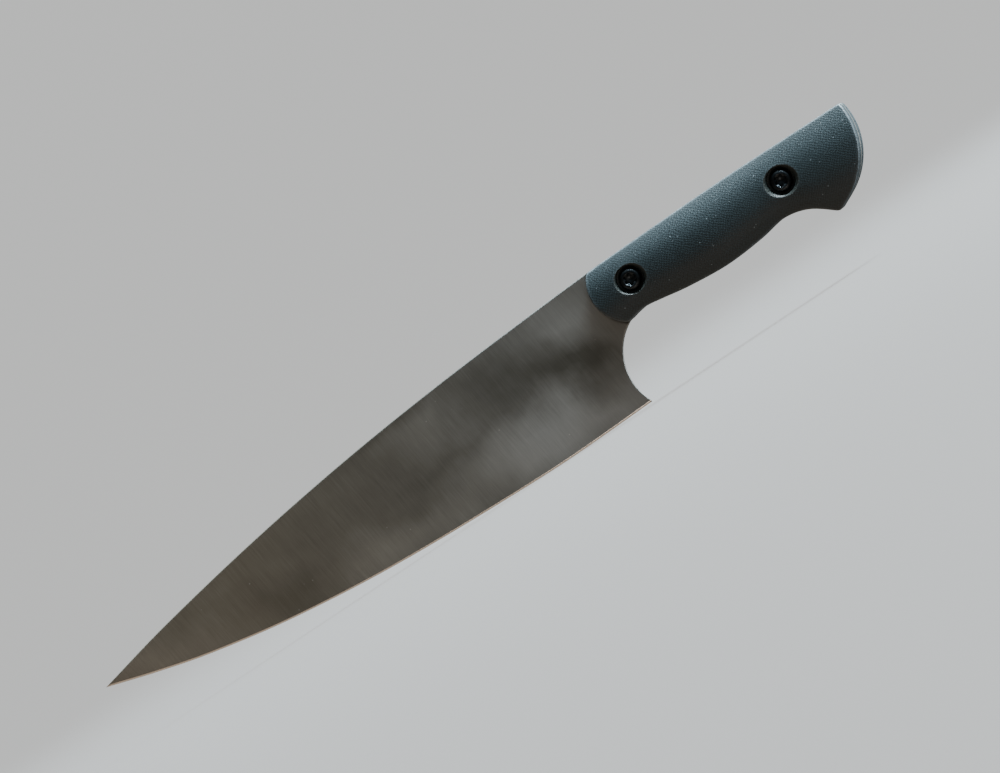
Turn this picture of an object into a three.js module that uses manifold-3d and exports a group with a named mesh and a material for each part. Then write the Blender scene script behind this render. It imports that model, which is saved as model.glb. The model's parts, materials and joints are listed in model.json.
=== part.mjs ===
// Chef's knife: a full-tang blade, two contoured handle scales, and the threaded
// sleeves and button-head screws that clamp the scales to the tang.
// Millimetres. +X runs from the tip to the butt, +Z from the cutting edge to the spine,
// and +Y points to the right of a person who holds the knife and looks at its tip.
import * as THREE from "three";
import { mergeVertices } from "three/addons/utils/BufferGeometryUtils.js";
import Module from "manifold-3d";

const wasm = await Module();
wasm.setup();

// ---- Driving dimensions ----
// Lengths are set out from the point where the scales' front edge meets the spine.

// Steel
const STOCK = 2.5; // thickness of the bar that the blade is ground from
const EDGE_ANGLE = 17; // degrees, each side of the cutting edge
const EDGE_LAND = 0.02; // half the thickness left at the very edge
const GRIND_SLOPE = 0.0205; // fall of each ground face per millimetre towards the edge
const TAPER_SLOPE = 0.0016; // fall of each ground face per millimetre towards the tip
const PLUNGE_RUN = 25; // distance over which the grind would run out to nothing

// Profile, as [x, z]
const TIP = [-207.7, -24.3];
const SPINE = [[1.4, 1.02], [-20, 0], [-60, -2.4], [-100, -6.05], [-140, -11.3], [-180, -18.2], TIP];
const EDGE = [TIP, [-190, -29.5], [-170, -34.4], [-140, -39.6], [-100, -43.6], [-45, -45.75], [-4.5, -44.95]];
const HANDLE_TOP = [[1.4, 1.02], [30, 1.56], [59, 1.8], [99, 1.24]];
const BEAK = [80.3, -27.6];
const BELLY = [BEAK, [72.5, -21.6], [63.8, -19.5], [53.2, -21.05], [40.6, -21.9], [27, -20.8], [18.2, -19.4],
  [12.4, -18.5], [8.5, -18.7], [3.9, -19.7]];
const BUTT = { x: 74.4, z: -2.7, radius: 25 };
const BUTT_END = [86, -24.8]; // where the butt's arc runs out into a straight edge to the beak
const CHOIL = { x: 12.5, z: -36.6, radius: 18.8 };
const BELOW_EDGE = -48.5; // the blank's straight lower side, before the edge is ground

// Handle
const FRONT_SCREW = { x: 12.4, z: -8.4 };
const REAR_SCREW = { x: 70.1, z: -8.9 };
const SCALE_FRONT_RADIUS = 14.1; // about the front screw
const PLUNGE_RADIUS = SCALE_FRONT_RADIUS + 0.4;
// Stations along the handle: x, half its thickness on the crown, and z of its belly rim
const SWELL = [[-4, 7.9, -19.4], [12, 8.4, -18.7], [27, 8.9, -20.7], [41, 9.3, -22], [54, 9, -20.9],
  [66, 8.6, -20.4], [78, 8.9, -25], [90, 9.2, -27.5], [103, 9.1, -28]];
const TOP_RIM = 1.6; // z of the handle's top rim
const RIM = 5.3; // half the handle's thickness at both rims
const CROWN_POWER = 2.3; // 2 is a parabola across the handle, more is flatter

// Fasteners
const HOLE_GAP = 0.1; // radial clearance of the sleeves in their holes
const SLEEVE = { radius: 3, bore: 2.3, length: 8.5, chamfer: 0.3 };
const SHANK = { radius: 2, length: 5, chamfer: 0.4 };
const HEAD = { radius: 3.8, height: 2.2, rim: 0.5, flat: 2.3 };
const RECESS = { mean: 1.66, lobe: 0.27, depth: 1.3 }; // six-lobe drive
const SEAT = 5.6; // distance of the screw heads' seats from the mid-plane
const COUNTERBORE = { radius: 4.7, chamferStart: 7.7, chamferReach: 4 };
const SCREW_HOLE = 2.3; // radius

// Fineness of the facets
const ROUND = 32; // sides of a round piece
const CURVE = 6; // steps in each span of an outline's curve
const LONG = 40; // stations along the edge and the handle
const ACROSS = 12; // steps across the handle

// ---- Solids and meshes ----

const points = (list) => list.map(([x, y]) => new THREE.Vector2(x, y));
const halfStock = STOCK / 2;

function toSolid(geometry) {
  const bare = geometry.clone();
  bare.deleteAttribute("normal");
  bare.deleteAttribute("uv");
  const merged = mergeVertices(bare, 1e-4);
  return new wasm.Manifold(new wasm.Mesh({
    numProp: 3,
    vertProperties: new Float32Array(merged.attributes.position.array),
    triVerts: new Uint32Array(merged.index.array),
  }));
}

function toGeometry(solid) {
  const mesh = solid.getMesh();
  const geometry = new THREE.BufferGeometry();
  geometry.setAttribute("position", new THREE.BufferAttribute(mesh.vertProperties, 3));
  geometry.setIndex(new THREE.BufferAttribute(mesh.triVerts, 1));
  geometry.computeVertexNormals();
  return geometry;
}

// A flat plate with its outline drawn in the XZ plane.
function plate(outline, yLow, yHigh) {
  const options = { depth: yHigh - yLow, bevelEnabled: false, curveSegments: CURVE };
  return new THREE.ExtrudeGeometry(outline, options).rotateX(Math.PI / 2).translate(0, yHigh, 0);
}

// A closed solid skinned over rings of [x, y, z] points that follow one another along +X. Each
// ring goes up on its -Y side and down on its +Y side.
function loft(rings) {
  const size = rings[0].length;
  const index = [];
  for (let i = 0; i + 1 < rings.length; i++) {
    for (let j = 0; j < size; j++) {
      const a = i * size + j;
      const b = i * size + (j + 1) % size;
      index.push(a, a + size, b, b, a + size, b + size);
    }
  }
  const last = (rings.length - 1) * size;
  for (let j = 1; j + 1 < size; j++) {
    index.push(0, j, j + 1);
    index.push(last, last + j + 1, last + j);
  }
  const geometry = new THREE.BufferGeometry();
  geometry.setAttribute("position", new THREE.Float32BufferAttribute(rings.flat(2), 3));
  geometry.setIndex(index);
  return geometry;
}

// A round solid about the Y axis, from its [radius, y] profile.
const turned = (profile) => new THREE.LatheGeometry(points(profile), ROUND);

// ---- Outlines ----

function arcTo(path, arc, from, to, clockwise) {
  const start = Math.atan2(from[1] - arc.z, from[0] - arc.x);
  const end = Math.atan2(to[1] - arc.z, to[0] - arc.x);
  path.absarc(arc.x, arc.z, arc.radius, start, end, clockwise);
}

// The handle's top, butt and belly, shared by the tang and the scales.
function followHandle(path) {
  path.splineThru(points(HANDLE_TOP.slice(1)));
  arcTo(path, BUTT, HANDLE_TOP.at(-1), BUTT_END, true);
  path.lineTo(...BEAK);
  path.splineThru(points(BELLY.slice(1)));
}

function bladeOutline() {
  const outline = new THREE.Shape();
  const beyondTip = [TIP[0] - 5.6, TIP[1] - 1.6];
  const choilEnd = [-2, BELOW_EDGE];
  outline.moveTo(...HANDLE_TOP[0]);
  followHandle(outline);
  arcTo(outline, CHOIL, BELLY.at(-1), choilEnd, false);
  outline.lineTo(beyondTip[0], BELOW_EDGE);
  outline.lineTo(...beyondTip);
  outline.lineTo(...TIP);
  outline.splineThru(points(SPINE.toReversed().slice(1)));
  return outline;
}

function scaleOutline() {
  const outline = new THREE.Shape();
  const front = { ...FRONT_SCREW, radius: SCALE_FRONT_RADIUS };
  outline.moveTo(...HANDLE_TOP[0]);
  followHandle(outline);
  arcTo(outline, front, BELLY.at(-1), HANDLE_TOP[0], true);
  return outline;
}

// ---- Blade and tang ----

// Half the thickness that the two ground faces leave at a point of the profile.
const ground = (x, z) => halfStock + TAPER_SLOPE * x + GRIND_SLOPE * z;

// The wedge between the ground faces, down to the line where they would meet.
function groundWedge() {
  const top = 8;
  const ring = (x) => {
    const meet = -(halfStock + TAPER_SLOPE * x) / GRIND_SLOPE;
    return [[x, 0, meet], [x, -ground(x, top), top], [x, ground(x, top), top]];
  };
  return toSolid(loft([ring(-220), ring(30)]));
}

// The grind runs out towards the scales on a shallow cone about the front screw.
function plungeCone() {
  const outer = PLUNGE_RADIUS + PLUNGE_RUN;
  const profile = [[0, -halfStock], [PLUNGE_RADIUS, -halfStock], [outer, 0], [PLUNGE_RADIUS, halfStock],
    [0, halfStock]];
  return toSolid(turned(profile).translate(FRONT_SCREW.x, 0, FRONT_SCREW.z));
}

// The tang behind the front screw keeps the bar's full thickness.
function tangBlock() {
  const length = 100;
  const height = 60;
  const block = new THREE.BoxGeometry(length, STOCK, height);
  return toSolid(block.translate(FRONT_SCREW.x + length / 2, 0, FRONT_SCREW.z));
}

// Everything between the two bevels of the cutting edge.
function bevelEnvelope() {
  const reach = 6;
  const spread = EDGE_LAND + reach * Math.tan(THREE.MathUtils.degToRad(EDGE_ANGLE));
  const ring = (x, z) => [[x, -EDGE_LAND, z], [x, -spread, z + reach], [x, -spread, 10], [x, spread, 10],
    [x, spread, z + reach], [x, EDGE_LAND, z]];
  const edge = new THREE.SplineCurve(points(EDGE)).getPoints(LONG);
  const heelZ = EDGE.at(-1)[1];
  const rings = edge.map((p) => ring(p.x, p.y));
  rings.unshift(ring(TIP[0] - 8, TIP[1] + 3));
  rings.push(ring(15, heelZ + 0.4), ring(110, heelZ + 0.4));
  return toSolid(loft(rings));
}

function bladeGeometry() {
  let blade = toSolid(plate(bladeOutline(), -halfStock, halfStock));
  blade = blade.intersect(groundWedge().add(plungeCone()).add(tangBlock()));
  blade = blade.intersect(bevelEnvelope());
  const hole = SLEEVE.radius + HOLE_GAP;
  const drill = [[0, -STOCK], [hole, -STOCK], [hole, STOCK], [0, STOCK]];
  for (const at of [FRONT_SCREW, REAR_SCREW]) {
    blade = blade.subtract(toSolid(turned(drill).translate(at.x, 0, at.z)));
  }
  return toGeometry(blade);
}

// ---- Handle scales ----

// A long dome whose surface is the scale's outer face: highest along the middle of the handle,
// and down to the rims' thickness at its top and at its belly.
function swell() {
  const stations = SWELL.map(([x, crown, belly]) => new THREE.Vector3(x, crown, belly));
  const overhang = 1.3; // the dome runs past the rims, as a share of half the handle's height
  const thinnest = 2;
  return new THREE.CatmullRomCurve3(stations).getPoints(LONG).map(({ x, y: crown, z: belly }) => {
    const middle = (TOP_RIM + belly) / 2;
    const halfHeight = (TOP_RIM - belly) / 2;
    const dome = [];
    for (let i = 0; i <= ACROSS; i++) {
      const across = overhang * (1 - (2 * i) / ACROSS);
      const y = crown - (crown - RIM) * Math.abs(across) ** CROWN_POWER;
      dome.push([x, Math.max(y, thinnest), middle + across * halfHeight]);
    }
    return [[x, 0, dome.at(-1)[2]], [x, 0, dome[0][2]], ...dome];
  });
}

function scaleGeometry() {
  const thickest = 11;
  let scale = toSolid(plate(scaleOutline(), halfStock, thickest));
  scale = scale.intersect(toSolid(loft(swell())));
  const { radius, chamferStart, chamferReach } = COUNTERBORE;
  const socket = SLEEVE.radius + HOLE_GAP;
  const socketEnd = SLEEVE.length / 2 + HOLE_GAP;
  const cut = [[0, 0], [socket, 0], [socket, socketEnd], [SCREW_HOLE, socketEnd], [SCREW_HOLE, SEAT],
    [radius, SEAT], [radius, chamferStart], [radius + chamferReach, chamferStart + chamferReach],
    [0, chamferStart + chamferReach]];
  for (const at of [FRONT_SCREW, REAR_SCREW]) {
    scale = scale.subtract(toSolid(turned(cut).translate(at.x, 0, at.z)));
  }
  return toGeometry(scale);
}

// ---- Fasteners ----

function sleeveGeometry() {
  const { radius, bore, length, chamfer } = SLEEVE;
  const end = length / 2;
  return turned([[bore, -end], [radius - chamfer, -end], [radius, chamfer - end], [radius, end - chamfer],
    [radius - chamfer, end], [bore, end], [bore, -end]]);
}

// A button head with its seat at y = 0, and its shank below.
function screwGeometry() {
  const steps = 5;
  const dome = [];
  for (let i = 0; i <= steps; i++) {
    const turn = (i / steps) * Math.PI / 2;
    dome.push([HEAD.flat + (HEAD.radius - HEAD.flat) * Math.cos(turn),
      HEAD.rim + (HEAD.height - HEAD.rim) * Math.sin(turn)]);
  }
  const profile = [[0, -SHANK.length], [SHANK.radius - SHANK.chamfer, -SHANK.length],
    [SHANK.radius, SHANK.chamfer - SHANK.length], [SHANK.radius, 0], [HEAD.radius, 0], ...dome,
    [0, HEAD.height]];
  const lobes = new THREE.Shape();
  const corners = 36;
  for (let i = 0; i < corners; i++) {
    const turn = (i / corners) * Math.PI * 2;
    const radius = RECESS.mean + RECESS.lobe * Math.cos(6 * turn);
    lobes[i ? "lineTo" : "moveTo"](radius * Math.cos(turn), radius * Math.sin(turn));
  }
  const recess = plate(lobes, HEAD.height - RECESS.depth, HEAD.height + 1);
  return toGeometry(toSolid(turned(profile)).subtract(toSolid(recess)));
}

// ---- The knife ----

const steel = new THREE.MeshStandardMaterial({ color: 0x8c8983, roughness: 0.42, metalness: 1 });
const laminate = new THREE.MeshStandardMaterial({ color: 0x3f4c52, roughness: 0.85, metalness: 0 });
const blackSteel = new THREE.MeshStandardMaterial({ color: 0x16181a, roughness: 0.45, metalness: 0.8 });
const brightSteel = new THREE.MeshStandardMaterial({ color: 0xb4b4b0, roughness: 0.3, metalness: 1 });

const knife = new THREE.Group();

function addMesh(name, geometry, material, x = 0, y = 0, z = 0) {
  const mesh = new THREE.Mesh(geometry, material);
  mesh.name = name;
  mesh.position.set(x, y, z);
  knife.add(mesh);
  return mesh;
}

addMesh("blade_with_tang", bladeGeometry(), steel);

const scale = scaleGeometry();
addMesh("scale_right", scale, laminate);
addMesh("scale_left", scale, laminate).scale.y = -1;

for (const [place, at] of [["front", FRONT_SCREW], ["rear", REAR_SCREW]]) {
  addMesh("sleeve_" + place, sleeveGeometry(), brightSteel, at.x, 0, at.z);
  addMesh("screw_" + place + "_right", screwGeometry(), blackSteel, at.x, SEAT, at.z);
  addMesh("screw_" + place + "_left", screwGeometry(), blackSteel, at.x, -SEAT, at.z).rotation.x = Math.PI;
}

// The part's origin is the middle of the knife's length, under its mid-plane, on the board that the edge meets.
const box = new THREE.Box3().setFromObject(knife);
knife.position.set(-(box.min.x + box.max.x) / 2, 0, -box.min.z);

const part = new THREE.Group();
part.add(knife);
export default part;
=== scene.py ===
# %% [markdown]
# # A chef's knife
# The knife is nine pieces. One bar of steel is both blade and tang, two laminate scales cover
# the tang, and each of two holes holds a threaded sleeve with a button-head screw in each end.
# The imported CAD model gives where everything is. This script makes the same pieces again with
# fine surfaces and finishes, in the same places.

# %% Load the frame
import json
import math

import bmesh
import bpy
import numpy as np
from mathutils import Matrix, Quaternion, Vector
from mathutils.kdtree import KDTree

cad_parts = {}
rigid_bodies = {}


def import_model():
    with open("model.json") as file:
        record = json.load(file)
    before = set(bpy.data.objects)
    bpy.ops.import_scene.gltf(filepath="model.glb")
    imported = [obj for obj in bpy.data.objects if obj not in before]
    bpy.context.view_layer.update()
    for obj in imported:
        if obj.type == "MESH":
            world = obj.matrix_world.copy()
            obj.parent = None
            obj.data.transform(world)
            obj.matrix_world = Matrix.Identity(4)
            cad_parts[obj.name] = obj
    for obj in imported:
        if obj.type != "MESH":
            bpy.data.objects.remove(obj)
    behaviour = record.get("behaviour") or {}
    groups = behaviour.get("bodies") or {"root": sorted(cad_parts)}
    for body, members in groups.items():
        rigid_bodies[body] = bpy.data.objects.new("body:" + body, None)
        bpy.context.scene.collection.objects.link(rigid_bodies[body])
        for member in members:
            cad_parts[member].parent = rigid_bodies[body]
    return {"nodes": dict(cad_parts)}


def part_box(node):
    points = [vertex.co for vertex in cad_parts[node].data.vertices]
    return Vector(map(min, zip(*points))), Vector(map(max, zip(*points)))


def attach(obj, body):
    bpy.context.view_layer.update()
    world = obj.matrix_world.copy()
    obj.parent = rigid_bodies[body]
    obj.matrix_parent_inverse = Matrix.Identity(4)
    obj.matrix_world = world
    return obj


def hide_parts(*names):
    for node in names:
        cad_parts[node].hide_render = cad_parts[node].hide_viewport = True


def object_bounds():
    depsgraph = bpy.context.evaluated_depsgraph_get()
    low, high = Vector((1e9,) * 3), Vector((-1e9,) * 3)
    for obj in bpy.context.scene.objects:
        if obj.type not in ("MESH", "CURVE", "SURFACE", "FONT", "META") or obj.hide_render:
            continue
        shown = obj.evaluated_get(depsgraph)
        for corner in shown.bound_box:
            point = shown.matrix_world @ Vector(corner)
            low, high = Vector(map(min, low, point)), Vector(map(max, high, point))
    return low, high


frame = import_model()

cad_low, cad_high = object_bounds()
print("CAD nodes:", sorted(frame["nodes"]))
print("CAD box, mm:", [round(side * 1000, 2) for side in cad_high - cad_low])

# %% [markdown]
# ## Where things are
# A knife maker sets a knife out from one point, where the front of the handle meets the spine.
# Everything below is in millimetres from that point: x runs back to the butt, z up to the
# spine, and y is the distance from the mid-plane. The front sleeve's place in the CAD model
# fixes the point, so nothing is fitted by eye.

# %% Set out the two holes
MM = 0.001
FRONT_HOLE = (12.4, -8.4)
REAR_HOLE = (70.1, -8.9)


def middle_of(node):
    low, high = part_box(node)
    return (low + high) / 2


def in_row(point):
    """A point of the profile in metres in the shared frame."""
    return origin + Vector((point[0], 0, point[1])) * MM


origin = middle_of("sleeve_front") - Vector((FRONT_HOLE[0], 0, FRONT_HOLE[1])) * MM
rear_gap = middle_of("sleeve_rear") - in_row(REAR_HOLE)
print("setting-out point, mm:", [round(v / MM, 3) for v in origin])
print("rear hole is off by, mm:", round(rear_gap.length / MM, 4))

# %% [markdown]
# ## The outline
# The profile is drawn as a maker draws it on the bar: a long spine, a curved edge, a round
# notch behind the heel for the first finger, and a handle with a round butt. Bezier or NURBS
# curves could hold it. Catmull-Rom curves are used because they pass through their points,
# so a few points state the whole profile, and arcs give the round stretches.

# %% Points of the profile
TIP = (-207.7, -24.3)
HEEL = (-4.5, -44.95)
HANDLE_FRONT = (1.4, 1.02)
THROAT = (3.9, -19.7)  # where the scales, the tang and the finger notch meet
BEAK = (80.3, -27.6)
SPINE = [TIP, (-180, -18.2), (-140, -11.3), (-100, -6.05), (-60, -2.4), (-20, 0), HANDLE_FRONT]
EDGE = [TIP, (-190, -29.5), (-170, -34.4), (-140, -39.6), (-100, -43.6), (-45, -45.75), HEEL]
HANDLE_TOP = [HANDLE_FRONT, (30, 1.56), (59, 1.8), (99, 1.24)]
BELLY = [BEAK, (72.5, -21.6), (63.8, -19.5), (53.2, -21.05), (40.6, -21.9), (27, -20.8),
         (18.2, -19.4), (12.4, -18.5), (8.5, -18.7), THROAT]
BUTT_CENTRE = (74.4, -2.7)
BUTT_END = (86, -24.8)  # where the butt's arc runs out into a straight line to the beak
NOTCH_CENTRE = (12.5, -36.6)
STEP = 0.1  # spacing of the points along a drawn line


# %% Curves through points, and arcs
def smooth_line(points, steps=60):
    """A curve through the points, each span a Catmull-Rom cubic."""
    knots = np.array([points[0], *points, points[-1]], float)
    t = np.linspace(0, 1, steps, endpoint=False)[:, None]
    spans = []
    for a, b, c, d in zip(knots, knots[1:], knots[2:], knots[3:]):
        bend = 2 * a - 5 * b + 4 * c - d + t * (3 * (b - c) + d - a)
        spans.append(b + 0.5 * t * (c - a + t * bend))
    return np.vstack([*spans, knots[-1]])


def arc_line(centre, start, end, steps=120):
    """The shorter arc about centre, from one point to another."""
    centre, start, end = (np.array(p, float) for p in (centre, start, end))
    first = math.atan2(*(start - centre)[::-1])
    last = math.atan2(*(end - centre)[::-1])
    sweep = (last - first + math.pi) % (2 * math.pi) - math.pi
    t = np.linspace(0, 1, steps)
    radius = np.linalg.norm(start - centre) * (1 - t) + np.linalg.norm(end - centre) * t
    angle = first + sweep * t
    return centre + radius[:, None] * np.stack([np.cos(angle), np.sin(angle)], 1)


def lengths_along(line):
    steps = np.linalg.norm(np.diff(line[:, :2], axis=0), axis=1)
    return np.concatenate([[0], np.cumsum(steps)])


def at_lengths(line, wanted):
    """The rows of a line's table at the wanted distances along it."""
    along = lengths_along(line)
    return np.stack([np.interp(wanted, along, column) for column in line.T], 1)


def cut(line, start=0.0, end=0.0):
    """The line without a length at its start and at its end, in even steps."""
    total = lengths_along(line)[-1]
    count = max(3, int((total - start - end) / STEP) + 1)
    return at_lengths(line, np.linspace(start, total - end, count))


def join(first, second, reach):
    """Two lines that meet at a corner, joined by a short curve instead."""
    corner = first[-1]
    if reach == 0:
        return np.vstack([cut(first), cut(second)[1:]])
    first, second = cut(first, end=reach), cut(second, start=reach)
    t = np.linspace(0, 1, 24)[1:-1, None]
    bend = (1 - t) ** 2 * first[-1] + 2 * t * (1 - t) * corner + t ** 2 * second[0]
    return np.vstack([first, bend, second])


# %% Draw the handle, then the blade and the scale
BUTT_CORNER = 1.3  # how far back from a corner its rounding starts
BEAK_CORNER = 1.5
FRONT_CORNER = 1.3

spine = smooth_line(SPINE)
edge = smooth_line(EDGE)
notch = arc_line(NOTCH_CENTRE, THROAT, HEEL)
scale_front = arc_line(FRONT_HOLE, THROAT, HANDLE_FRONT)
handle_top = smooth_line(HANDLE_TOP)
first_span = len(handle_top) // 3
top_ahead, top_behind = handle_top[:first_span + 1], handle_top[first_span:]
butt = join(arc_line(BUTT_CENTRE, HANDLE_TOP[-1], BUTT_END), np.array([BUTT_END, BEAK], float), 2.0)
handle_back = join(join(top_behind, butt, BUTT_CORNER), smooth_line(BELLY), BEAK_CORNER)

blade_outline = join(join(join(spine, top_ahead, 0), handle_back, 0), notch, 0)
blade_outline = join(blade_outline, edge[::-1], 0)[:-1]
scale_outline = join(join(handle_back, scale_front, FRONT_CORNER), top_ahead, FRONT_CORNER)[:-1]
print("points in the outlines:", len(blade_outline), len(scale_outline))
print("handle length, mm:", round(float(np.ptp(scale_outline[:, 0])), 2))

# %% [markdown]
# ## Skins with clean faces
# Steel and laminate are cut, then eased: every corner that a hand meets has its sharpness
# taken off, and that small round is what catches the light. A boolean and a Bevel modifier
# could do it, but they leave long thin faces that shade badly on a broad satin surface. So
# each side of a piece is a net of four-sided faces, led round its holes, and the two sides
# are joined by rows that follow the eased corner.


# %% The outline as a table, with its outward direction and its easing
def outline_table(outline, ease):
    """Rows of x, z, outward x, outward z and easing, with x and z moved in by the easing."""
    ahead, behind = np.roll(outline, -1, 0), np.roll(outline, 1, 0)
    along = ahead - behind
    along /= np.linalg.norm(along, axis=1)[:, None]
    outward = np.stack([-along[:, 1], along[:, 0]], 1)
    return np.column_stack([outline - ease[:, None] * outward, outward, ease])


def nearest(line, point):
    return int(np.argmin(np.hypot(line[:, 0] - point[0], line[:, 1] - point[1])))


def softened(values, reach):
    """Values round a closed outline, averaged over a length of it."""
    count = max(1, int(reach / STEP))
    weights = np.ones(2 * count + 1) / (2 * count + 1)
    padded = np.concatenate([values[-count:], values, values[:count]])
    return np.convolve(padded, weights, "valid")


# %% A net of faces with two round holes
NEAR_HOLE = (0.18, 0.36, 0.54, 0.7, 0.84, 0.93, 0.975, 1.0)  # rings from the net to the hole


def net(grid, radius_at, reach):
    """Points and faces of a grid whose faces near each hole lead to a circle."""
    columns, rows = grid.shape[0] - 1, grid.shape[1] - 1
    points = [tuple(p) for p in grid.reshape(-1, 2)]
    number = np.arange(len(points)).reshape(columns + 1, rows + 1)
    kept = np.ones((columns, rows), bool)
    faces, loops = [], []
    for hole in (FRONT_HOLE, REAR_HOLE):
        distance = np.hypot(grid[..., 0] - hole[0], grid[..., 1] - hole[1])
        ci, cj = np.unravel_index(distance.argmin(), distance.shape)
        left = max(i for i in range(ci) if distance[i, cj] >= reach)
        right = min(i for i in range(ci, columns + 1) if distance[i, cj] >= reach)
        top = max(j for j in range(cj) if distance[ci, j] >= reach)
        bottom = min(j for j in range(cj, rows + 1) if distance[ci, j] >= reach)
        kept[left:right, top:bottom] = False
        square = [number[i, top] for i in range(left, right)]
        square += [number[right, j] for j in range(top, bottom)]
        square += [number[i, bottom] for i in range(right, left, -1)]
        square += [number[left, j] for j in range(bottom, top, -1)]
        outer = np.array([points[n] for n in square])
        angle = np.arctan2(outer[:, 1] - hole[1], outer[:, 0] - hole[0])
        spoke = np.stack([np.cos(angle), np.sin(angle)], 1)
        circle = np.array(hole) + radius_at(hole, angle)[:, None] * spoke
        ring = square
        for share in NEAR_HOLE:
            inner = list(range(len(points), len(points) + len(square)))
            points.extend(map(tuple, outer + (circle - outer) * share))
            faces += band(ring, inner)
            ring = inner
        loops.append(ring)
    for i, j in np.argwhere(kept):
        faces.append((number[i, j], number[i + 1, j], number[i + 1, j + 1], number[i, j + 1]))
    rim = [*number[:, 0], *number[-1, 1:], *number[-2::-1, -1], *number[0, -2:0:-1]]
    return np.array(points), faces, loops, rim


def band(first, second):
    """The faces between two closed rows of the same number of points."""
    pairs = zip(first, np.roll(first, -1), second, np.roll(second, -1))
    return [(a, b, d, c) for a, b, c, d in pairs]


# %% Collect a piece's points and faces, and make its mesh
class Skin:
    """A piece while it is made: points in millimetres, and faces."""

    def __init__(self):
        self.points, self.faces = [], []

    def add_net(self, flat, heights, faces, loops, rim):
        start = len(self.points)
        self.points += [(x, y, z) for (x, z), y in zip(flat, heights)]
        self.faces += [tuple(start + n for n in face) for face in faces]
        return [[start + n for n in loop] for loop in loops], [start + n for n in rim]

    def add_row(self, x, y, z):
        start = len(self.points)
        rows = np.broadcast_arrays(x, y, z)
        self.points += list(zip(*(row.tolist() for row in rows)))
        return list(range(start, start + len(rows[0])))

    def join_rows(self, rows):
        for first, second in zip(rows, rows[1:]):
            self.faces += band(first, second)


def make_piece(name, skin):
    mesh = bpy.data.meshes.new(name)
    points = [Vector(p) * MM + origin for p in skin.points]
    mesh.from_pydata(points, [], [tuple(int(n) for n in face) for face in skin.faces])
    return tidy_mesh(name, mesh)


def tidy_mesh(name, mesh):
    """Merges what coincides, turns the faces outwards and links the piece."""
    shell = bmesh.new()
    shell.from_mesh(mesh)
    bmesh.ops.delete(shell, geom=[v for v in shell.verts if not v.link_faces], context="VERTS")
    bmesh.ops.remove_doubles(shell, verts=shell.verts, dist=0.0015 * MM)
    bmesh.ops.dissolve_degenerate(shell, edges=shell.edges, dist=0.001 * MM)
    bmesh.ops.recalc_face_normals(shell, faces=shell.faces)
    if shell.calc_volume(signed=True) < 0:
        bmesh.ops.reverse_faces(shell, faces=shell.faces)
    open_edges = sum(not e.is_manifold for e in shell.edges)
    volume = shell.calc_volume() / MM ** 3
    shell.to_mesh(mesh)
    shell.free()
    mesh.shade_smooth()
    piece = bpy.data.objects.new(name, mesh)
    bpy.context.scene.collection.objects.link(piece)
    print(f"{name}: {len(mesh.polygons)} faces, {volume:.0f} mm3, {open_edges} open edges")
    return piece


def places_of(piece):
    """A piece's points in millimetres from the setting-out point."""
    co = np.empty(len(piece.data.vertices) * 3)
    piece.data.vertices.foreach_get("co", co)
    return (co.reshape(-1, 3) - np.array(origin)) / MM


def store(piece, name, values):
    """A number for each point of a piece, which its material reads by name."""
    layer = piece.data.attributes.new(name, "FLOAT", "POINT")
    layer.data.foreach_set("value", np.asarray(values, np.float32))


def distance_to(places, targets):
    tree = KDTree(len(targets))
    for k, target in enumerate(targets):
        tree.insert(target, k)
    tree.balance()
    return np.array([tree.find(place)[2] for place in places])


# %% [markdown]
# ## The blade and tang
# The bar is ground flat on both sides, from its full thickness at the spine to a thin edge,
# and a narrower bevel, about 17 degrees a side, makes the cutting edge. Near the handle the
# grind runs out on a shallow curve. A subdivision surface would have to be pulled to these
# planes by hand. A formula for half the thickness at each point of the profile states them
# exactly, so the net of faces only has to ask it.

# %% Half the blade's thickness at a point of the profile
HALF_STOCK = 1.25
EDGE_SLOPE = math.tan(math.radians(17))
EDGE_LAND = 0.02
GRIND_SLOPE = 0.0205
TAPER_SLOPE = 0.0016
PLUNGE_RADIUS = 14.5
PLUNGE_RUN = 25
PLUNGE_BLEND = 0.07  # how softly the plunge meets the ground face
THINNED = 0.19  # half the thickness behind the bevel, where the maker thinned the blade
THINNED_REACH = 13  # how far up from the edge the thinning runs


def above_edge(x, z):
    return z - np.interp(x, edge[:, 0], edge[:, 1])


def ground_half(x, z):
    """The ground face, thinned by hand in a band above the edge."""
    flat = HALF_STOCK + TAPER_SLOPE * x + GRIND_SLOPE * z
    up = np.clip(above_edge(x, z) / THINNED_REACH, 0, 1)
    return flat - (flat - THINNED) * (1 - up) ** 3


def blade_half(x, z):
    ground = ground_half(x, z)
    reach = np.hypot(x - FRONT_HOLE[0], z - FRONT_HOLE[1])
    plunge = HALF_STOCK * (1 - (reach - PLUNGE_RADIUS) / PLUNGE_RUN)
    face = (ground + plunge + np.sqrt((ground - plunge) ** 2 + PLUNGE_BLEND ** 2)) / 2
    face = np.where(x > FRONT_HOLE[0], HALF_STOCK, np.minimum(face, HALF_STOCK))
    bevel = EDGE_LAND + np.maximum(above_edge(x, z), 0) * EDGE_SLOPE
    return np.minimum(face, bevel)


print("half thickness over the heel and at the tip, mm:",
      [round(float(blade_half(x, z)), 3) for x, z in ((-30, -2), (-30, -42), (-195, -25))])

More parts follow.
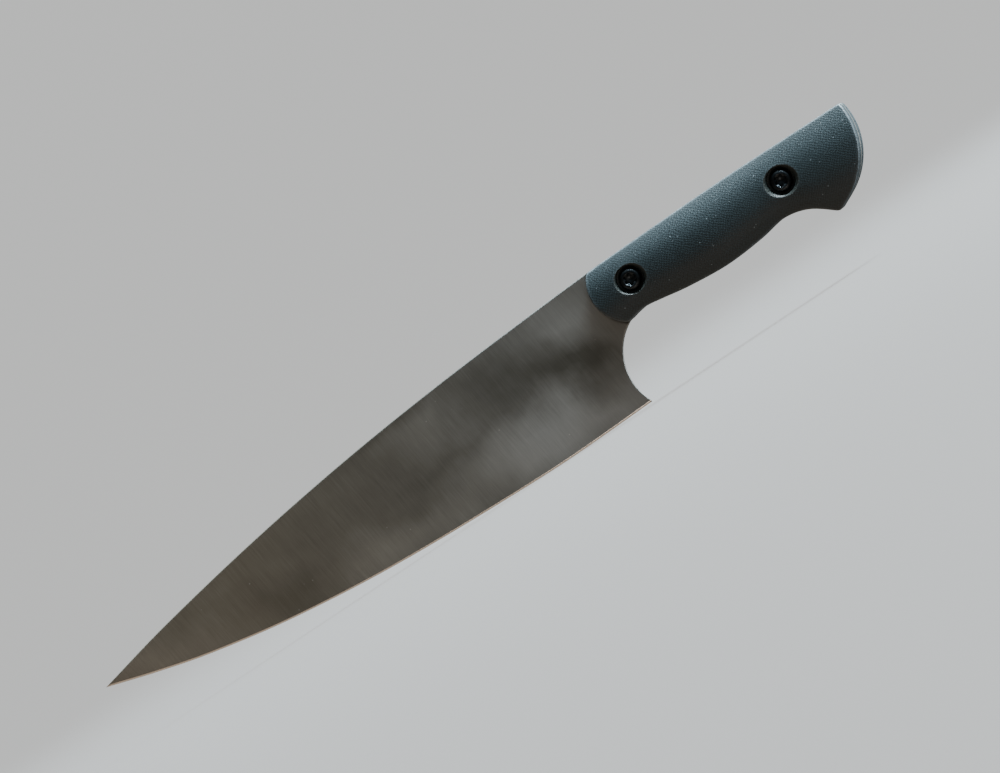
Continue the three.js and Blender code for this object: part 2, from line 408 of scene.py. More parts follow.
# %% The blade's easing, from a soft spine to a crisp edge
SPINE_EASE = 0.32
NOTCH_EASE = 0.28
TANG_EASE = 0.05
TIP_FADE = 7  # the spine's easing grows over this length from the tip
HEEL_FADE = 2.5  # and the notch's over this length from the heel
EASE_BLEND = 0.9  # how far one easing runs into the next
EASE_LIMIT = 0.8  # the most of half the thickness that an easing takes
heel_at = nearest(blade_outline, HEEL)
throat_at = nearest(blade_outline, THROAT)
front_at = nearest(blade_outline, HANDLE_FRONT)
blade_ease = np.full(len(blade_outline), TANG_EASE)
from_tip = lengths_along(blade_outline)[:front_at]
blade_ease[:front_at] = SPINE_EASE * np.minimum(from_tip / TIP_FADE, 1)
to_heel = lengths_along(blade_outline[throat_at:heel_at + 1])
blade_ease[throat_at:heel_at] = NOTCH_EASE * np.minimum((to_heel[-1] - to_heel[:-1]) / HEEL_FADE, 1)
blade_ease[heel_at:] = 0
blade_ease = softened(blade_ease, EASE_BLEND)
blade_ease[heel_at:] = 0
blade_ease[0] = 0
blade_ease = np.minimum(blade_ease, EASE_LIMIT * blade_half(*blade_outline.T))
blade_table = outline_table(blade_outline, blade_ease)

# %% The blade's net, in columns from the spine to the edge
BLADE_COLUMNS = (330, 70, 130, 56)  # along the edge, the notch, the belly and the butt
BLADE_ROWS = 26
ABOVE_HEEL = (-46, -1.45)  # the columns lean so that they clear the notch
ABOVE_THROAT = (3, 1.1)
ABOVE_BEAK = (84, 1.6)
TALLEST_BEVEL = 3
LEAST_BEVEL = 0.3
CLOSE_ROWS = 1.6  # room that the rows close to the bevel and the spine take


def in_sections(line, stops, counts):
    """Rows spread evenly along each section of a line, between the stops."""
    marks = [nearest(line, stop) for stop in stops]
    parts = []
    for start, end, count in zip(marks, marks[1:], counts):
        section = line[start:end + 1]
        parts.append(at_lengths(section, np.linspace(0, lengths_along(section)[-1], count + 1)[:-1]))
    return np.vstack([*parts, line[marks[-1]]])


butt_at = int(blade_table[:, 0].argmax())
upper = blade_table[:butt_at + 1]
lower = np.vstack([blade_table[:1], blade_table[:butt_at - 1:-1]])
butt_point = tuple(blade_table[butt_at, :2])
upper = in_sections(upper, [TIP, ABOVE_HEEL, ABOVE_THROAT, ABOVE_BEAK, butt_point], BLADE_COLUMNS)
lower = in_sections(lower, [TIP, HEEL, THROAT, BEAK, butt_point], BLADE_COLUMNS)


def bevel_share(top, bottom):
    """How far up a column the cutting bevel reaches, in millimetres."""
    length = math.dist(top, bottom)
    tries = np.linspace(0, min(TALLEST_BEVEL, length), 400)
    column = bottom + (top - bottom) * (tries / max(length, 1e-9))[:, None]
    x, z = column.T
    bevel = EDGE_LAND + np.maximum(above_edge(x, z), 0) * EDGE_SLOPE
    inside = np.argmax(bevel >= ground_half(x, z))
    return tries[inside] if inside > 0 else LEAST_BEVEL


def ladder(top, bottom):
    """Points from the top of a column to its bottom, close together where the surface bends."""
    length = math.dist(top, bottom)
    bevel = bevel_share(top, bottom)
    shrink = min(1, length / (bevel + CLOSE_ROWS))
    low = np.array([0, bevel - 0.05, bevel + 0.05, bevel + 0.35]) * shrink
    high = length - np.array([0.5, 0.15, 0]) * shrink
    rungs = np.concatenate([low, np.linspace(low[-1], high[0], BLADE_ROWS + 2)[1:-1], high])
    return bottom + (top - bottom) * (rungs[::-1] / max(length, 1e-9))[:, None]


blade_grid = np.array([ladder(t, b) for t, b in zip(upper[:, :2], lower[:, :2])])
print("blade net:", blade_grid.shape[:2])

# %% Skin the blade
TANG_HOLE = 3.1
TANG_HOLE_REACH = 4.6  # how near a hole the net turns to a circle
BEVEL_BAND = 2.5  # the bevel is nowhere higher above the edge
BEVEL_MARGIN = 0.004
ROUNDING = [math.radians(a) for a in (22.5, 45, 67.5, 90)]


def eased_row(skin, table, height_at, turn, side):
    """The row of points at one angle of the eased corner round an outline."""
    x, z, out_x, out_z, ease = table.T
    row_x = x + ease * math.sin(turn) * out_x
    row_z = z + ease * math.sin(turn) * out_z
    height = height_at(row_x, row_z) - ease * (1 - math.cos(turn))
    return skin.add_row(row_x, side * height, row_z)


def rim_rows(left, right, top, bottom):
    """An outline's table in the order of the rim of its net."""
    return np.vstack([top, right[1:], bottom[-2::-1], left[-2:0:-1]])


def blade_skin():
    skin = Skin()
    down = blade_grid.shape[1]
    table = rim_rows(np.repeat(upper[:1], down, 0), np.repeat(upper[-1:], down, 0), upper, lower)
    plain = table[:, 0], table[:, 1]
    steady = blade_half(*plain)
    flat, faces, loops, rim = net(blade_grid, lambda hole, angle: np.full(len(angle), TANG_HOLE),
                                  TANG_HOLE_REACH)
    heights = blade_half(*flat.T)
    bores, rims = [], []
    for side in (-1, 1):
        made, edge_row = skin.add_net(flat, side * heights, faces, loops, rim)
        bores.append(made)
        rows = [eased_row(skin, table, lambda x, z: steady, turn, side) for turn in ROUNDING]
        rims.append([edge_row, *rows])
    skin.join_rows(rims[0] + rims[1][::-1])
    for first, second in zip(*bores):
        skin.join_rows([first, second])
    return skin


blade = make_piece("blade_and_tang", blade_skin())
blade_places = places_of(blade)
blade_x, _, blade_z = blade_places.T
on_bevel = blade_half(blade_x, blade_z) < ground_half(blade_x, blade_z) - BEVEL_MARGIN
on_bevel &= above_edge(blade_x, blade_z) < BEVEL_BAND
store(blade, "bevel", on_bevel)

# %% [markdown]
# ## The handle scales
# Each scale is a block of cloth laminate, glued up from many thin layers, then shaped to a
# palm swell: highest along the middle, thinner at its rims, fullest at the belly and the butt.
# Sculpting would do for one handle, but not for a matching pair. Here the swell is a few
# stations along the handle with a power curve across it, and the counterbores for the screw
# heads are worked out where their chamfers meet that surface.

# %% The scale's outer surface
SWELL = [(-4, 7.9, -19.4), (12, 8.4, -18.7), (27, 8.9, -20.7), (41, 9.3, -22), (54, 9, -20.9),
         (66, 8.6, -20.4), (78, 8.9, -25), (90, 9.2, -27.5), (103, 9.1, -28)]  # x, crown, belly
TOP_RIM = 1.6
RIM_HALF = 5.3
CROWN_POWER = 2.3
swell_line = smooth_line(SWELL)


def dome(x, z):
    crown = np.interp(x, swell_line[:, 0], swell_line[:, 1])
    belly = np.interp(x, swell_line[:, 0], swell_line[:, 2])
    across = np.abs(z - (TOP_RIM + belly) / 2) / ((TOP_RIM - belly) / 2)
    return crown - (crown - RIM_HALF) * across ** CROWN_POWER


print("half the handle's thickness along its middle, mm:",
      [round(float(dome(x, -9)), 2) for x in (0, 25, 50, 75, 98)])

# %% Where a counterbore's chamfer meets the surface
BORE = 4.7
CHAMFER_START = 7.7
SEAT = 5.6
SCREW_HOLE = 2.3
SOCKET = 3.1
SOCKET_END = 4.35
BORE_EASE = 0.14


def chamfer_radius(hole, angle):
    """The radius at which a 45 degree chamfer reaches the dome, for each angle."""
    radius = np.full(len(angle), BORE)
    for _ in range(30):
        x = hole[0] + radius * np.cos(angle)
        z = hole[1] + radius * np.sin(angle)
        radius = (radius + BORE + dome(x, z) - CHAMFER_START) / 2
    return radius


turns = np.linspace(0, 2 * math.pi, 8, endpoint=False)
print("counterbore radius, mm:", chamfer_radius(FRONT_HOLE, turns).round(2))

# %% The scale's net, between its four sides
SCALE_COLUMNS = 230
SCALE_ROWS = 52
SCALE_EASE = 0.45
FRONT_EASE = 0.9
FRONT_REACH = 14.3  # from the front screw to the scale's front
FRONT_BACK = 4  # the front's easing stops this far behind the setting-out point
SCALE_BLEND = 2
SUPPORT = 0.13  # the first row of faces inside an eased corner, in millimetres

scale_ease = np.full(len(scale_outline), SCALE_EASE)
near_front = np.hypot(*(scale_outline - FRONT_HOLE).T) < FRONT_REACH
scale_ease[near_front & (scale_outline[:, 0] < FRONT_BACK)] = FRONT_EASE
scale_table = outline_table(scale_outline, softened(scale_ease, SCALE_BLEND))
scale_table = np.roll(scale_table, -nearest(scale_table, HANDLE_FRONT), 0)


def graded(length, count):
    """Shares of a length, from 0 to 1, with close rows at both ends."""
    close = np.array([0, SUPPORT, 3 * SUPPORT]) / length
    middle = np.linspace(6 * SUPPORT / length, 1 - 6 * SUPPORT / length, count)
    return np.concatenate([close, middle, 1 - close[::-1]])


def side_of(table, start, end, shares):
    section = table[start:end + 1] if end > start else np.vstack([table[start:], table[:1]])
    return at_lengths(section, shares * lengths_along(section)[-1])


SCALE_LENGTH, SCALE_DEPTH = 100, 22  # near enough to space the rows by
across_shares = graded(SCALE_LENGTH, SCALE_COLUMNS)
down_shares = graded(SCALE_DEPTH, SCALE_ROWS)
corner_at = [0, *(nearest(scale_table, corner) for corner in (HANDLE_TOP[-1], BEAK, THROAT))]
side_top = side_of(scale_table, corner_at[0], corner_at[1], across_shares)
side_right = side_of(scale_table, corner_at[1], corner_at[2], down_shares)
side_bottom = side_of(scale_table, corner_at[2], corner_at[3], across_shares)[::-1]
side_left = side_of(scale_table, corner_at[3], 0, down_shares)[::-1]


def stretched(top, bottom, left, right):
    """A net pulled between four sides, each a row of points."""
    u, v = across_shares[:, None, None], down_shares[None, :, None]
    t, b, l, r = (side[:, :2] for side in (top, bottom, left, right))
    corners = (1 - u) * (1 - v) * t[0] + u * (1 - v) * t[-1] + (1 - u) * v * b[0] + u * v * b[-1]
    return (1 - v) * t[:, None] + v * b[:, None] + (1 - u) * l[None] + u * r[None] - corners


scale_grid = stretched(side_top, side_bottom, side_left, side_right)
print("scale net:", scale_grid.shape[:2])

# %% Skin a scale on one side of the tang
INNER = HALF_STOCK + 0.02
INNER_EASE = 0.08
HOLE_REACH = 7.4


def bored_row(skin, hole, angle, radius, height, side):
    x = hole[0] + radius * np.cos(angle)
    z = hole[1] + radius * np.sin(angle)
    return skin.add_row(x, side * height, z)


def counterbore_rows(skin, hole, start, side):
    """Rows from the dome down the counterbore and the screw hole, to the socket's mouth."""
    first = np.array([skin.points[n] for n in start])
    angle = np.arctan2(first[:, 2] - hole[1], first[:, 0] - hole[0])
    lip = chamfer_radius(hole, angle)
    rows = [start]
    for radius, height in [
        (lip, dome(hole[0] + lip * np.cos(angle), hole[1] + lip * np.sin(angle)) - 0.04),
        (lip - BORE_EASE, CHAMFER_START + lip - BORE_EASE - BORE),
        (BORE + 0.08, CHAMFER_START + 0.08), (BORE + 0.02, CHAMFER_START), (BORE, CHAMFER_START - 0.08),
        (BORE, SEAT + 0.12), (BORE - 0.04, SEAT + 0.03), (BORE - 0.15, SEAT), (SCREW_HOLE + 0.15, SEAT),
        (SCREW_HOLE, SEAT - 0.12), (SCREW_HOLE, SOCKET_END + 0.05), (SCREW_HOLE + 0.05, SOCKET_END),
        (SOCKET - 0.05, SOCKET_END), (SOCKET, SOCKET_END - 0.05), (SOCKET, INNER + 0.1),
    ]:
        rows.append(bored_row(skin, hole, angle, radius, height, side))
    return rows


def scale_skin(side):
    skin = Skin()
    table = rim_rows(side_left, side_right, side_top, side_bottom)
    flat, faces, loops, rim = net(scale_grid, lambda hole, angle: chamfer_radius(hole, angle) + BORE_EASE,
                                  HOLE_REACH)
    outer_bores, outer_rim = skin.add_net(flat, side * dome(*flat.T), faces, loops, rim)
    flat, faces, loops, rim = net(scale_grid, lambda hole, angle: np.full(len(angle), SOCKET), HOLE_REACH)
    inner_bores, inner_rim = skin.add_net(flat, np.full(len(flat), side * INNER), faces, loops, rim)
    rows = [outer_rim, *(eased_row(skin, table, dome, turn, side) for turn in ROUNDING)]
    x, z, out_x, out_z, ease = table.T
    wall_x, wall_z = x + ease * out_x, z + ease * out_z
    rows.append(skin.add_row(wall_x, side * (INNER + INNER_EASE), wall_z))
    rows.append(skin.add_row(wall_x - INNER_EASE * out_x, side * INNER, wall_z - INNER_EASE * out_z))
    skin.join_rows([*rows, inner_rim])
    for hole, outer, inner in zip((FRONT_HOLE, REAR_HOLE), outer_bores, inner_bores):
        skin.join_rows([*counterbore_rows(skin, hole, outer, side), inner])
    return skin


# %% Make both scales, and note where they are worn or machined
EASE_OUT, EASE_DOWN = 0.7, 0.3  # the middle of an eased corner, in shares of its easing
RIM_WEAR = 0.3  # the wear fades over this length
LIP_WEAR = 0.25
LIP_SHARE = 0.35  # how worn a counterbore's lip is, beside a rim
CUTTER_REACH = 6
BELOW_DOME = 0.02


def make_scale(name, side):
    scale = make_piece(name, scale_skin(side))
    places = places_of(scale)
    table = rim_rows(side_left, side_right, side_top, side_bottom)
    x, z, out_x, out_z, ease = table.T
    corner_x, corner_z = x + ease * EASE_OUT * out_x, z + ease * EASE_OUT * out_z
    corner_y = side * (dome(corner_x, corner_z) - EASE_DOWN * ease)
    to_rim = distance_to(places, np.column_stack([corner_x, corner_y, corner_z]))
    around = np.linspace(0, 2 * math.pi, 180, endpoint=False)
    lips = []
    for hole in (FRONT_HOLE, REAR_HOLE):
        radius = chamfer_radius(hole, around)
        lip_x, lip_z = hole[0] + radius * np.cos(around), hole[1] + radius * np.sin(around)
        lips.append(np.column_stack([lip_x, side * dome(lip_x, lip_z), lip_z]))
    to_lip = distance_to(places, np.vstack(lips))
    store(scale, "worn_rim", np.exp(-to_rim / RIM_WEAR))
    store(scale, "worn_lip", LIP_SHARE * np.exp(-to_lip / LIP_WEAR))
    along, out, up = places.T
    machined = np.min([np.hypot(along - hx, up - hz) for hx, hz in (FRONT_HOLE, REAR_HOLE)], 0)
    # The counterbore mark tells the laminate where to paint shade and a warm reflection.
    store(scale, "counterbore", (machined < CUTTER_REACH) & (np.abs(out) < dome(along, up) - BELOW_DOME))
    return scale


scale_left = make_scale("handle_scale_left", -1)
scale_right = make_scale("handle_scale_right", 1)

# %% [markdown]
# ## The screws and sleeves
# These are lathe work: a profile turned round an axis, four screws and two sleeves alike. A
# Screw modifier could turn them, but it can't cut a thread or a six-lobe recess, and each
# copy would be placed by hand. Geometry Nodes do all of it in one tree: sweep the profile
# round a circle, push the points into threads and lobes, then set a copy in each hole.

# %% Profiles to be turned
PITCH = 0.7  # of the thread
THREAD_DEPTH = 0.34
THREAD_STEP = PITCH / 8
HEAD_RADIUS, HEAD_FLAT, HEAD_RIM, HEAD_HEIGHT = 3.8, 2.3, 0.45, 2.2
SHANK_RADIUS, SHANK_LENGTH = 2, 5
RECESS_FLOOR = 0.9


def threaded(radius, start, end):
    """Rows of a thread whose crests are at the radius."""
    rows = np.arange(start, end, math.copysign(THREAD_STEP, end - start))
    return [(radius, float(height), 0, 1) for height in rows]


def screw_profile():
    """Rows of radius, height above the seat, and shares of lobe and thread."""
    crest = SHANK_RADIUS - THREAD_DEPTH / 2
    shank = [(0, -SHANK_LENGTH, 0, 0), (1.3, -SHANK_LENGTH, 0, 0), (1.5, -SHANK_LENGTH + 0.06, 0, 0)]
    shank += threaded(crest, -SHANK_LENGTH + 0.3, -0.7)
    neck = [(1.7, -0.6, 0, 0), (1.7, -0.15, 0, 0), (1.8, 0, 0, 0)]
    rim = [(HEAD_RADIUS - 0.1, 0, 0, 0), (HEAD_RADIUS - 0.02, 0.03, 0, 0), (HEAD_RADIUS, 0.1, 0, 0)]
    crown = []
    for turn in np.linspace(0, math.pi / 2, 12):
        crown.append((HEAD_FLAT + (HEAD_RADIUS - HEAD_FLAT) * math.cos(turn),
                      HEAD_RIM + (HEAD_HEIGHT - HEAD_RIM) * math.sin(turn), 0, 0))
    recess = [(2.2, 2.19, 0, 0), (2.14, 2.16, 0, 0), (1.98, 2.02, 0.2, 0), (1.78, 1.88, 0.7, 0),
              (1.7, 1.78, 1, 0), (1.66, 1.7, 1, 0), (1.64, RECESS_FLOOR + 0.1, 1, 0),
              (1.58, RECESS_FLOOR, 1, 0), (1.1, RECESS_FLOOR - 0.02, 0.5, 0),
              (0.6, RECESS_FLOOR - 0.15, 0, 0), (0, RECESS_FLOOR - 0.35, 0, 0)]
    return shank + neck + rim + crown + recess


def sleeve_profile():
    """A closed profile: the outside, an end, the threaded bore and the other end."""
    outer, bore, end = 3.0, 2.3, 4.25
    outside = [(outer - 0.3, -end, 0, 0), (outer - 0.02, -end + 0.28, 0, 0), (outer, -end + 0.36, 0, 0),
               (outer, end - 0.36, 0, 0), (outer - 0.02, end - 0.28, 0, 0), (outer - 0.3, end, 0, 0)]
    mouth = [(bore + 0.25, end, 0, 0), (bore + 0.08, end - 0.15, 0, 0)]
    thread = threaded(bore + 0.1, end - 0.25, -end + 0.25)
    return outside + mouth + thread + [(bore + 0.08, -end + 0.15, 0, 0), (bore + 0.25, -end, 0, 0)]


def profile_piece(name, rows, closed):
    """The profile as a line of edges. Each point keeps its radius, height, lobe and thread."""
    count = len(rows)
    edges = [(k, k + 1) for k in range(count - 1)] + ([(count - 1, 0)] if closed else [])
    mesh = bpy.data.meshes.new(name)
    mesh.from_pydata([(radius * MM, height * MM, 0) for radius, height, _, _ in rows], edges, [])
    piece = bpy.data.objects.new(name, mesh)
    bpy.context.scene.collection.objects.link(piece)
    for label, column, unit in (("from_axis", 0, MM), ("up_axis", 1, MM), ("lobe", 2, 1), ("thread", 3, 1)):
        store(piece, label, [row[column] * unit for row in rows])
    return piece


screws = profile_piece("button_head_screws", screw_profile(), closed=False)
sleeves = profile_piece("threaded_sleeves", sleeve_profile(), closed=True)
print("rows in the profiles:", len(screws.data.vertices), len(sleeves.data.vertices))

# %% The tree: its inputs
turning = bpy.data.node_groups.new("turn_a_profile_and_set_it_in_the_holes", "GeometryNodeTree")
interface = turning.interface
for name, kind in [("Profile", "Geometry"), ("Steps Round", "Int"), ("Lobe Share", "Float"),
                   ("Thread Pitch", "Float"), ("Thread Depth", "Float"), ("Copies In A Hole", "Int"),
                   ("Seat From Middle", "Float"), ("Front Hole", "Vector"), ("Rear Hole", "Vector"),
                   ("Seed", "Int"), ("Material", "Material")]:
    interface.new_socket(name=name, in_out="INPUT", socket_type=f"NodeSocket{kind}")
interface.new_socket(name="Geometry", in_out="OUTPUT", socket_type="NodeSocketGeometry")
print("tree inputs:", [item.name for item in interface.items_tree if item.in_out == "INPUT"])


# %% Lay out a tree's nodes in their frames
def lay_out(tree, per_column=4):
    """Sets the nodes of each frame in columns, and the frames in a row."""
    across = 0
    frames = [n for n in tree.nodes if n.type == "FRAME"] + [None]
    for frame_node in frames:
        members = [n for n in tree.nodes if n.parent == frame_node and n.type != "FRAME"]
        for k, node in enumerate(members):
            node.location = (across + 220 * (k // per_column), -230 * (k % per_column))
        across += 220 * (len(members) // per_column + 1) + 60


# %% The tree: turn the profile, with its thread and lobes
nodes, links = turning.nodes, turning.links
turn_frame = nodes.new("NodeFrame")
turn_frame.label = "Turn the profile"
cut_frame = nodes.new("NodeFrame")
cut_frame.label = "Cut the thread and the recess"
set_frame = nodes.new("NodeFrame")
set_frame.label = "Set a copy in each place"

given = nodes.new("NodeGroupInput")
given.label = "sizes of the part"
given.parent = turn_frame
as_curve = nodes.new("GeometryNodeMeshToCurve")
as_curve.label = "profile as a curve"
as_curve.parent = turn_frame
circle = nodes.new("GeometryNodeCurvePrimitiveCircle")
circle.label = "path round the axis"
circle.parent = turn_frame
circle.inputs["Radius"].default_value = 0.01
step = nodes.new("GeometryNodeInputIndex")
step.label = "step round the axis"
step.parent = turn_frame
share_round = nodes.new("ShaderNodeMath")
share_round.operation = "DIVIDE"
share_round.label = "share of a turn"
share_round.parent = turn_frame
angle_round = nodes.new("ShaderNodeMath")
angle_round.operation = "MULTIPLY"
angle_round.inputs[1].default_value = 2 * math.pi
angle_round.label = "angle"
angle_round.parent = turn_frame
keep_angle = nodes.new("GeometryNodeStoreNamedAttribute")
keep_angle.label = "keep the angle"
keep_angle.parent = turn_frame
keep_angle.data_type = "FLOAT"
keep_angle.domain = "POINT"
keep_angle.inputs["Name"].default_value = "angle"
sweep = nodes.new("GeometryNodeCurveToMesh")
sweep.label = "sweep"
sweep.parent = turn_frame
links.new(given.outputs["Profile"], as_curve.inputs["Mesh"])
links.new(given.outputs["Steps Round"], circle.inputs["Resolution"])
links.new(step.outputs["Index"], share_round.inputs[0])
links.new(given.outputs["Steps Round"], share_round.inputs[1])
links.new(share_round.outputs[0], angle_round.inputs[0])
links.new(circle.outputs["Curve"], keep_angle.inputs["Geometry"])
links.new(angle_round.outputs[0], keep_angle.inputs["Value"])
links.new(keep_angle.outputs["Geometry"], sweep.inputs["Curve"])
links.new(as_curve.outputs["Curve"], sweep.inputs["Profile Curve"])

kept_values = {}
for label in ("angle", "from_axis", "up_axis", "lobe", "thread"):
    reader = nodes.new("GeometryNodeInputNamedAttribute")
    reader.data_type = "FLOAT"
    reader.inputs["Name"].default_value = label
    reader.label = label
    reader.parent = cut_frame
    kept_values[label] = reader.outputs["Attribute"]

six_times = nodes.new("ShaderNodeMath")
six_times.operation = "MULTIPLY"
six_times.inputs[1].default_value = 6
six_times.label = "six lobes to a turn"
six_times.parent = cut_frame
lobe_wave = nodes.new("ShaderNodeMath")
lobe_wave.operation = "COSINE"
lobe_wave.label = "lobes"
lobe_wave.parent = cut_frame
lobe_here = nodes.new("ShaderNodeMath")
lobe_here.operation = "MULTIPLY"
lobe_here.label = "only in the recess"
lobe_here.parent = cut_frame
lobe_size = nodes.new("ShaderNodeMath")
lobe_size.operation = "MULTIPLY_ADD"
lobe_size.inputs[2].default_value = 1
lobe_size.label = "radius, waved by the lobes"
lobe_size.parent = cut_frame
links.new(kept_values["angle"], six_times.inputs[0])
links.new(six_times.outputs[0], lobe_wave.inputs[0])
links.new(lobe_wave.outputs[0], lobe_here.inputs[0])
links.new(kept_values["lobe"], lobe_here.inputs[1])
links.new(lobe_here.outputs[0], lobe_size.inputs[0])
links.new(given.outputs["Lobe Share"], lobe_size.inputs[1])

pitches = nodes.new("ShaderNodeMath")
pitches.operation = "DIVIDE"
pitches.label = "pitches up the axis"
pitches.parent = cut_frame
thread_phase = nodes.new("ShaderNodeMath")
thread_phase.operation = "MULTIPLY_ADD"
thread_phase.inputs[1].default_value = 2 * math.pi
thread_phase.label = "helix"
thread_phase.parent = cut_frame
thread_wave = nodes.new("ShaderNodeMath")
thread_wave.operation = "COSINE"
thread_wave.label = "crests and roots"
thread_wave.parent = cut_frame
thread_here = nodes.new("ShaderNodeMath")
thread_here.operation = "MULTIPLY"
thread_here.label = "only on the threaded rows"
thread_here.parent = cut_frame
half_depth = nodes.new("ShaderNodeMath")
half_depth.operation = "MULTIPLY"
half_depth.inputs[1].default_value = 0.5
half_depth.label = "half the depth"
half_depth.parent = cut_frame
thread_size = nodes.new("ShaderNodeMath")
thread_size.operation = "MULTIPLY"
thread_size.label = "height of the thread"
thread_size.parent = cut_frame
cut_radius = nodes.new("ShaderNodeMath")
cut_radius.operation = "MULTIPLY_ADD"
cut_radius.label = "radius with lobes and thread"
cut_radius.parent = cut_frame
links.new(kept_values["up_axis"], pitches.inputs[0])
links.new(given.outputs["Thread Pitch"], pitches.inputs[1])
links.new(pitches.outputs[0], thread_phase.inputs[0])
links.new(kept_values["angle"], thread_phase.inputs[2])
links.new(thread_phase.outputs[0], thread_wave.inputs[0])
links.new(thread_wave.outputs[0], thread_here.inputs[0])
links.new(kept_values["thread"], thread_here.inputs[1])
links.new(given.outputs["Thread Depth"], half_depth.inputs[0])
links.new(thread_here.outputs[0], thread_size.inputs[0])
links.new(half_depth.outputs[0], thread_size.inputs[1])
links.new(kept_values["from_axis"], cut_radius.inputs[0])
links.new(lobe_size.outputs[0], cut_radius.inputs[1])
links.new(thread_size.outputs[0], cut_radius.inputs[2])

cosine = nodes.new("ShaderNodeMath")
cosine.operation = "COSINE"
cosine.label = "across"
cosine.parent = cut_frame
sine = nodes.new("ShaderNodeMath")
sine.operation = "SINE"
sine.label = "up"
sine.parent = cut_frame
place_x = nodes.new("ShaderNodeMath")
place_x.operation = "MULTIPLY"
place_x.label = "x"
place_x.parent = cut_frame
place_y = nodes.new("ShaderNodeMath")
place_y.operation = "MULTIPLY"
place_y.label = "y"
place_y.parent = cut_frame
place = nodes.new("ShaderNodeCombineXYZ")
place.label = "place on the turned part"
place.parent = cut_frame
move = nodes.new("GeometryNodeSetPosition")
move.label = "push the points there"
move.parent = cut_frame
close_up = nodes.new("GeometryNodeMergeByDistance")
close_up.label = "close the ends on the axis"
close_up.parent = cut_frame
close_up.inputs["Distance"].default_value = 1e-6
links.new(kept_values["angle"], cosine.inputs[0])
links.new(kept_values["angle"], sine.inputs[0])
links.new(cut_radius.outputs[0], place_x.inputs[0])
links.new(cosine.outputs[0], place_x.inputs[1])
links.new(cut_radius.outputs[0], place_y.inputs[0])
links.new(sine.outputs[0], place_y.inputs[1])
links.new(place_x.outputs[0], place.inputs["X"])
links.new(place_y.outputs[0], place.inputs["Y"])
links.new(kept_values["up_axis"], place.inputs["Z"])
links.new(sweep.outputs["Mesh"], move.inputs["Geometry"])
links.new(place.outputs["Vector"], move.inputs["Position"])
links.new(move.outputs["Geometry"], close_up.inputs["Geometry"])

# %% The tree: set the copies in the holes
copies = nodes.new("ShaderNodeMath")
copies.operation = "MULTIPLY"
copies.inputs[1].default_value = 2
copies.label = "copies in both holes"
copies.parent = set_frame
spot = nodes.new("GeometryNodeInputIndex")
spot.label = "copy"
spot.parent = set_frame
hole_share = nodes.new("ShaderNodeMath")
hole_share.operation = "DIVIDE"
hole_share.label = "copies before this one"
hole_share.parent = set_frame
hole_number = nodes.new("ShaderNodeMath")
hole_number.operation = "FLOOR"
hole_number.label = "0 in front, 1 behind"
hole_number.parent = set_frame
side_number = nodes.new("ShaderNodeMath")
side_number.operation = "MODULO"
side_number.label = "0 left, 1 right"
side_number.parent = set_frame
side_sign = nodes.new("ShaderNodeMath")
side_sign.operation = "MULTIPLY_ADD"
side_sign.inputs[1].default_value = 2
side_sign.inputs[2].default_value = -1
side_sign.label = "-1 left, 1 right"
side_sign.parent = set_frame
between = nodes.new("ShaderNodeVectorMath")
between.operation = "SUBTRACT"
between.label = "from hole to hole"
between.parent = set_frame
hole_place = nodes.new("ShaderNodeVectorMath")
hole_place.operation = "MULTIPLY_ADD"
hole_place.label = "this copy's hole"
hole_place.parent = set_frame
seat_offset = nodes.new("ShaderNodeMath")
seat_offset.operation = "MULTIPLY"
seat_offset.label = "out to the seat"
seat_offset.parent = set_frame
seat_vector = nodes.new("ShaderNodeCombineXYZ")
seat_vector.label = "seat"
seat_vector.parent = set_frame
seat_place = nodes.new("ShaderNodeVectorMath")
seat_place.operation = "ADD"
seat_place.label = "this copy's seat"
seat_place.parent = set_frame
tip_angle = nodes.new("ShaderNodeMath")
tip_angle.operation = "MULTIPLY"
tip_angle.inputs[1].default_value = -math.pi / 2
tip_angle.label = "tip its axis outwards"
tip_angle.parent = set_frame
tip_vector = nodes.new("ShaderNodeCombineXYZ")
tip_vector.label = "tip"
tip_vector.parent = set_frame
spots = nodes.new("GeometryNodePoints")
spots.label = "a point at each seat"
spots.parent = set_frame
copy_on = nodes.new("GeometryNodeInstanceOnPoints")
copy_on.label = "a copy on each point"
copy_on.parent = set_frame
wrench = nodes.new("FunctionNodeRandomValue")
wrench.data_type = "FLOAT"
wrench.inputs[2].default_value = 0
wrench.inputs[3].default_value = 2 * math.pi
wrench.label = "where the wrench stopped"
wrench.parent = set_frame
wrench_turn = nodes.new("ShaderNodeCombineXYZ")
wrench_turn.label = "turn about its own axis"
wrench_turn.parent = set_frame
tighten = nodes.new("GeometryNodeRotateInstances")
tighten.label = "tighten"
tighten.parent = set_frame
realize = nodes.new("GeometryNodeRealizeInstances")
realize.label = "make the copies real"
realize.parent = set_frame
finish_material = nodes.new("GeometryNodeSetMaterial")
finish_material.label = "finish"
finish_material.parent = set_frame
made = nodes.new("NodeGroupOutput")
made.label = "the turned parts"
made.parent = set_frame
links.new(given.outputs["Copies In A Hole"], copies.inputs[0])
links.new(spot.outputs["Index"], hole_share.inputs[0])
links.new(given.outputs["Copies In A Hole"], hole_share.inputs[1])
links.new(hole_share.outputs[0], hole_number.inputs[0])
links.new(spot.outputs["Index"], side_number.inputs[0])
links.new(given.outputs["Copies In A Hole"], side_number.inputs[1])
links.new(side_number.outputs[0], side_sign.inputs[0])
links.new(given.outputs["Rear Hole"], between.inputs[0])
links.new(given.outputs["Front Hole"], between.inputs[1])
links.new(between.outputs[0], hole_place.inputs[0])
links.new(hole_number.outputs[0], hole_place.inputs[1])
links.new(given.outputs["Front Hole"], hole_place.inputs[2])
links.new(side_sign.outputs[0], seat_offset.inputs[0])
links.new(given.outputs["Seat From Middle"], seat_offset.inputs[1])
links.new(seat_offset.outputs[0], seat_vector.inputs["Y"])
links.new(hole_place.outputs[0], seat_place.inputs[0])
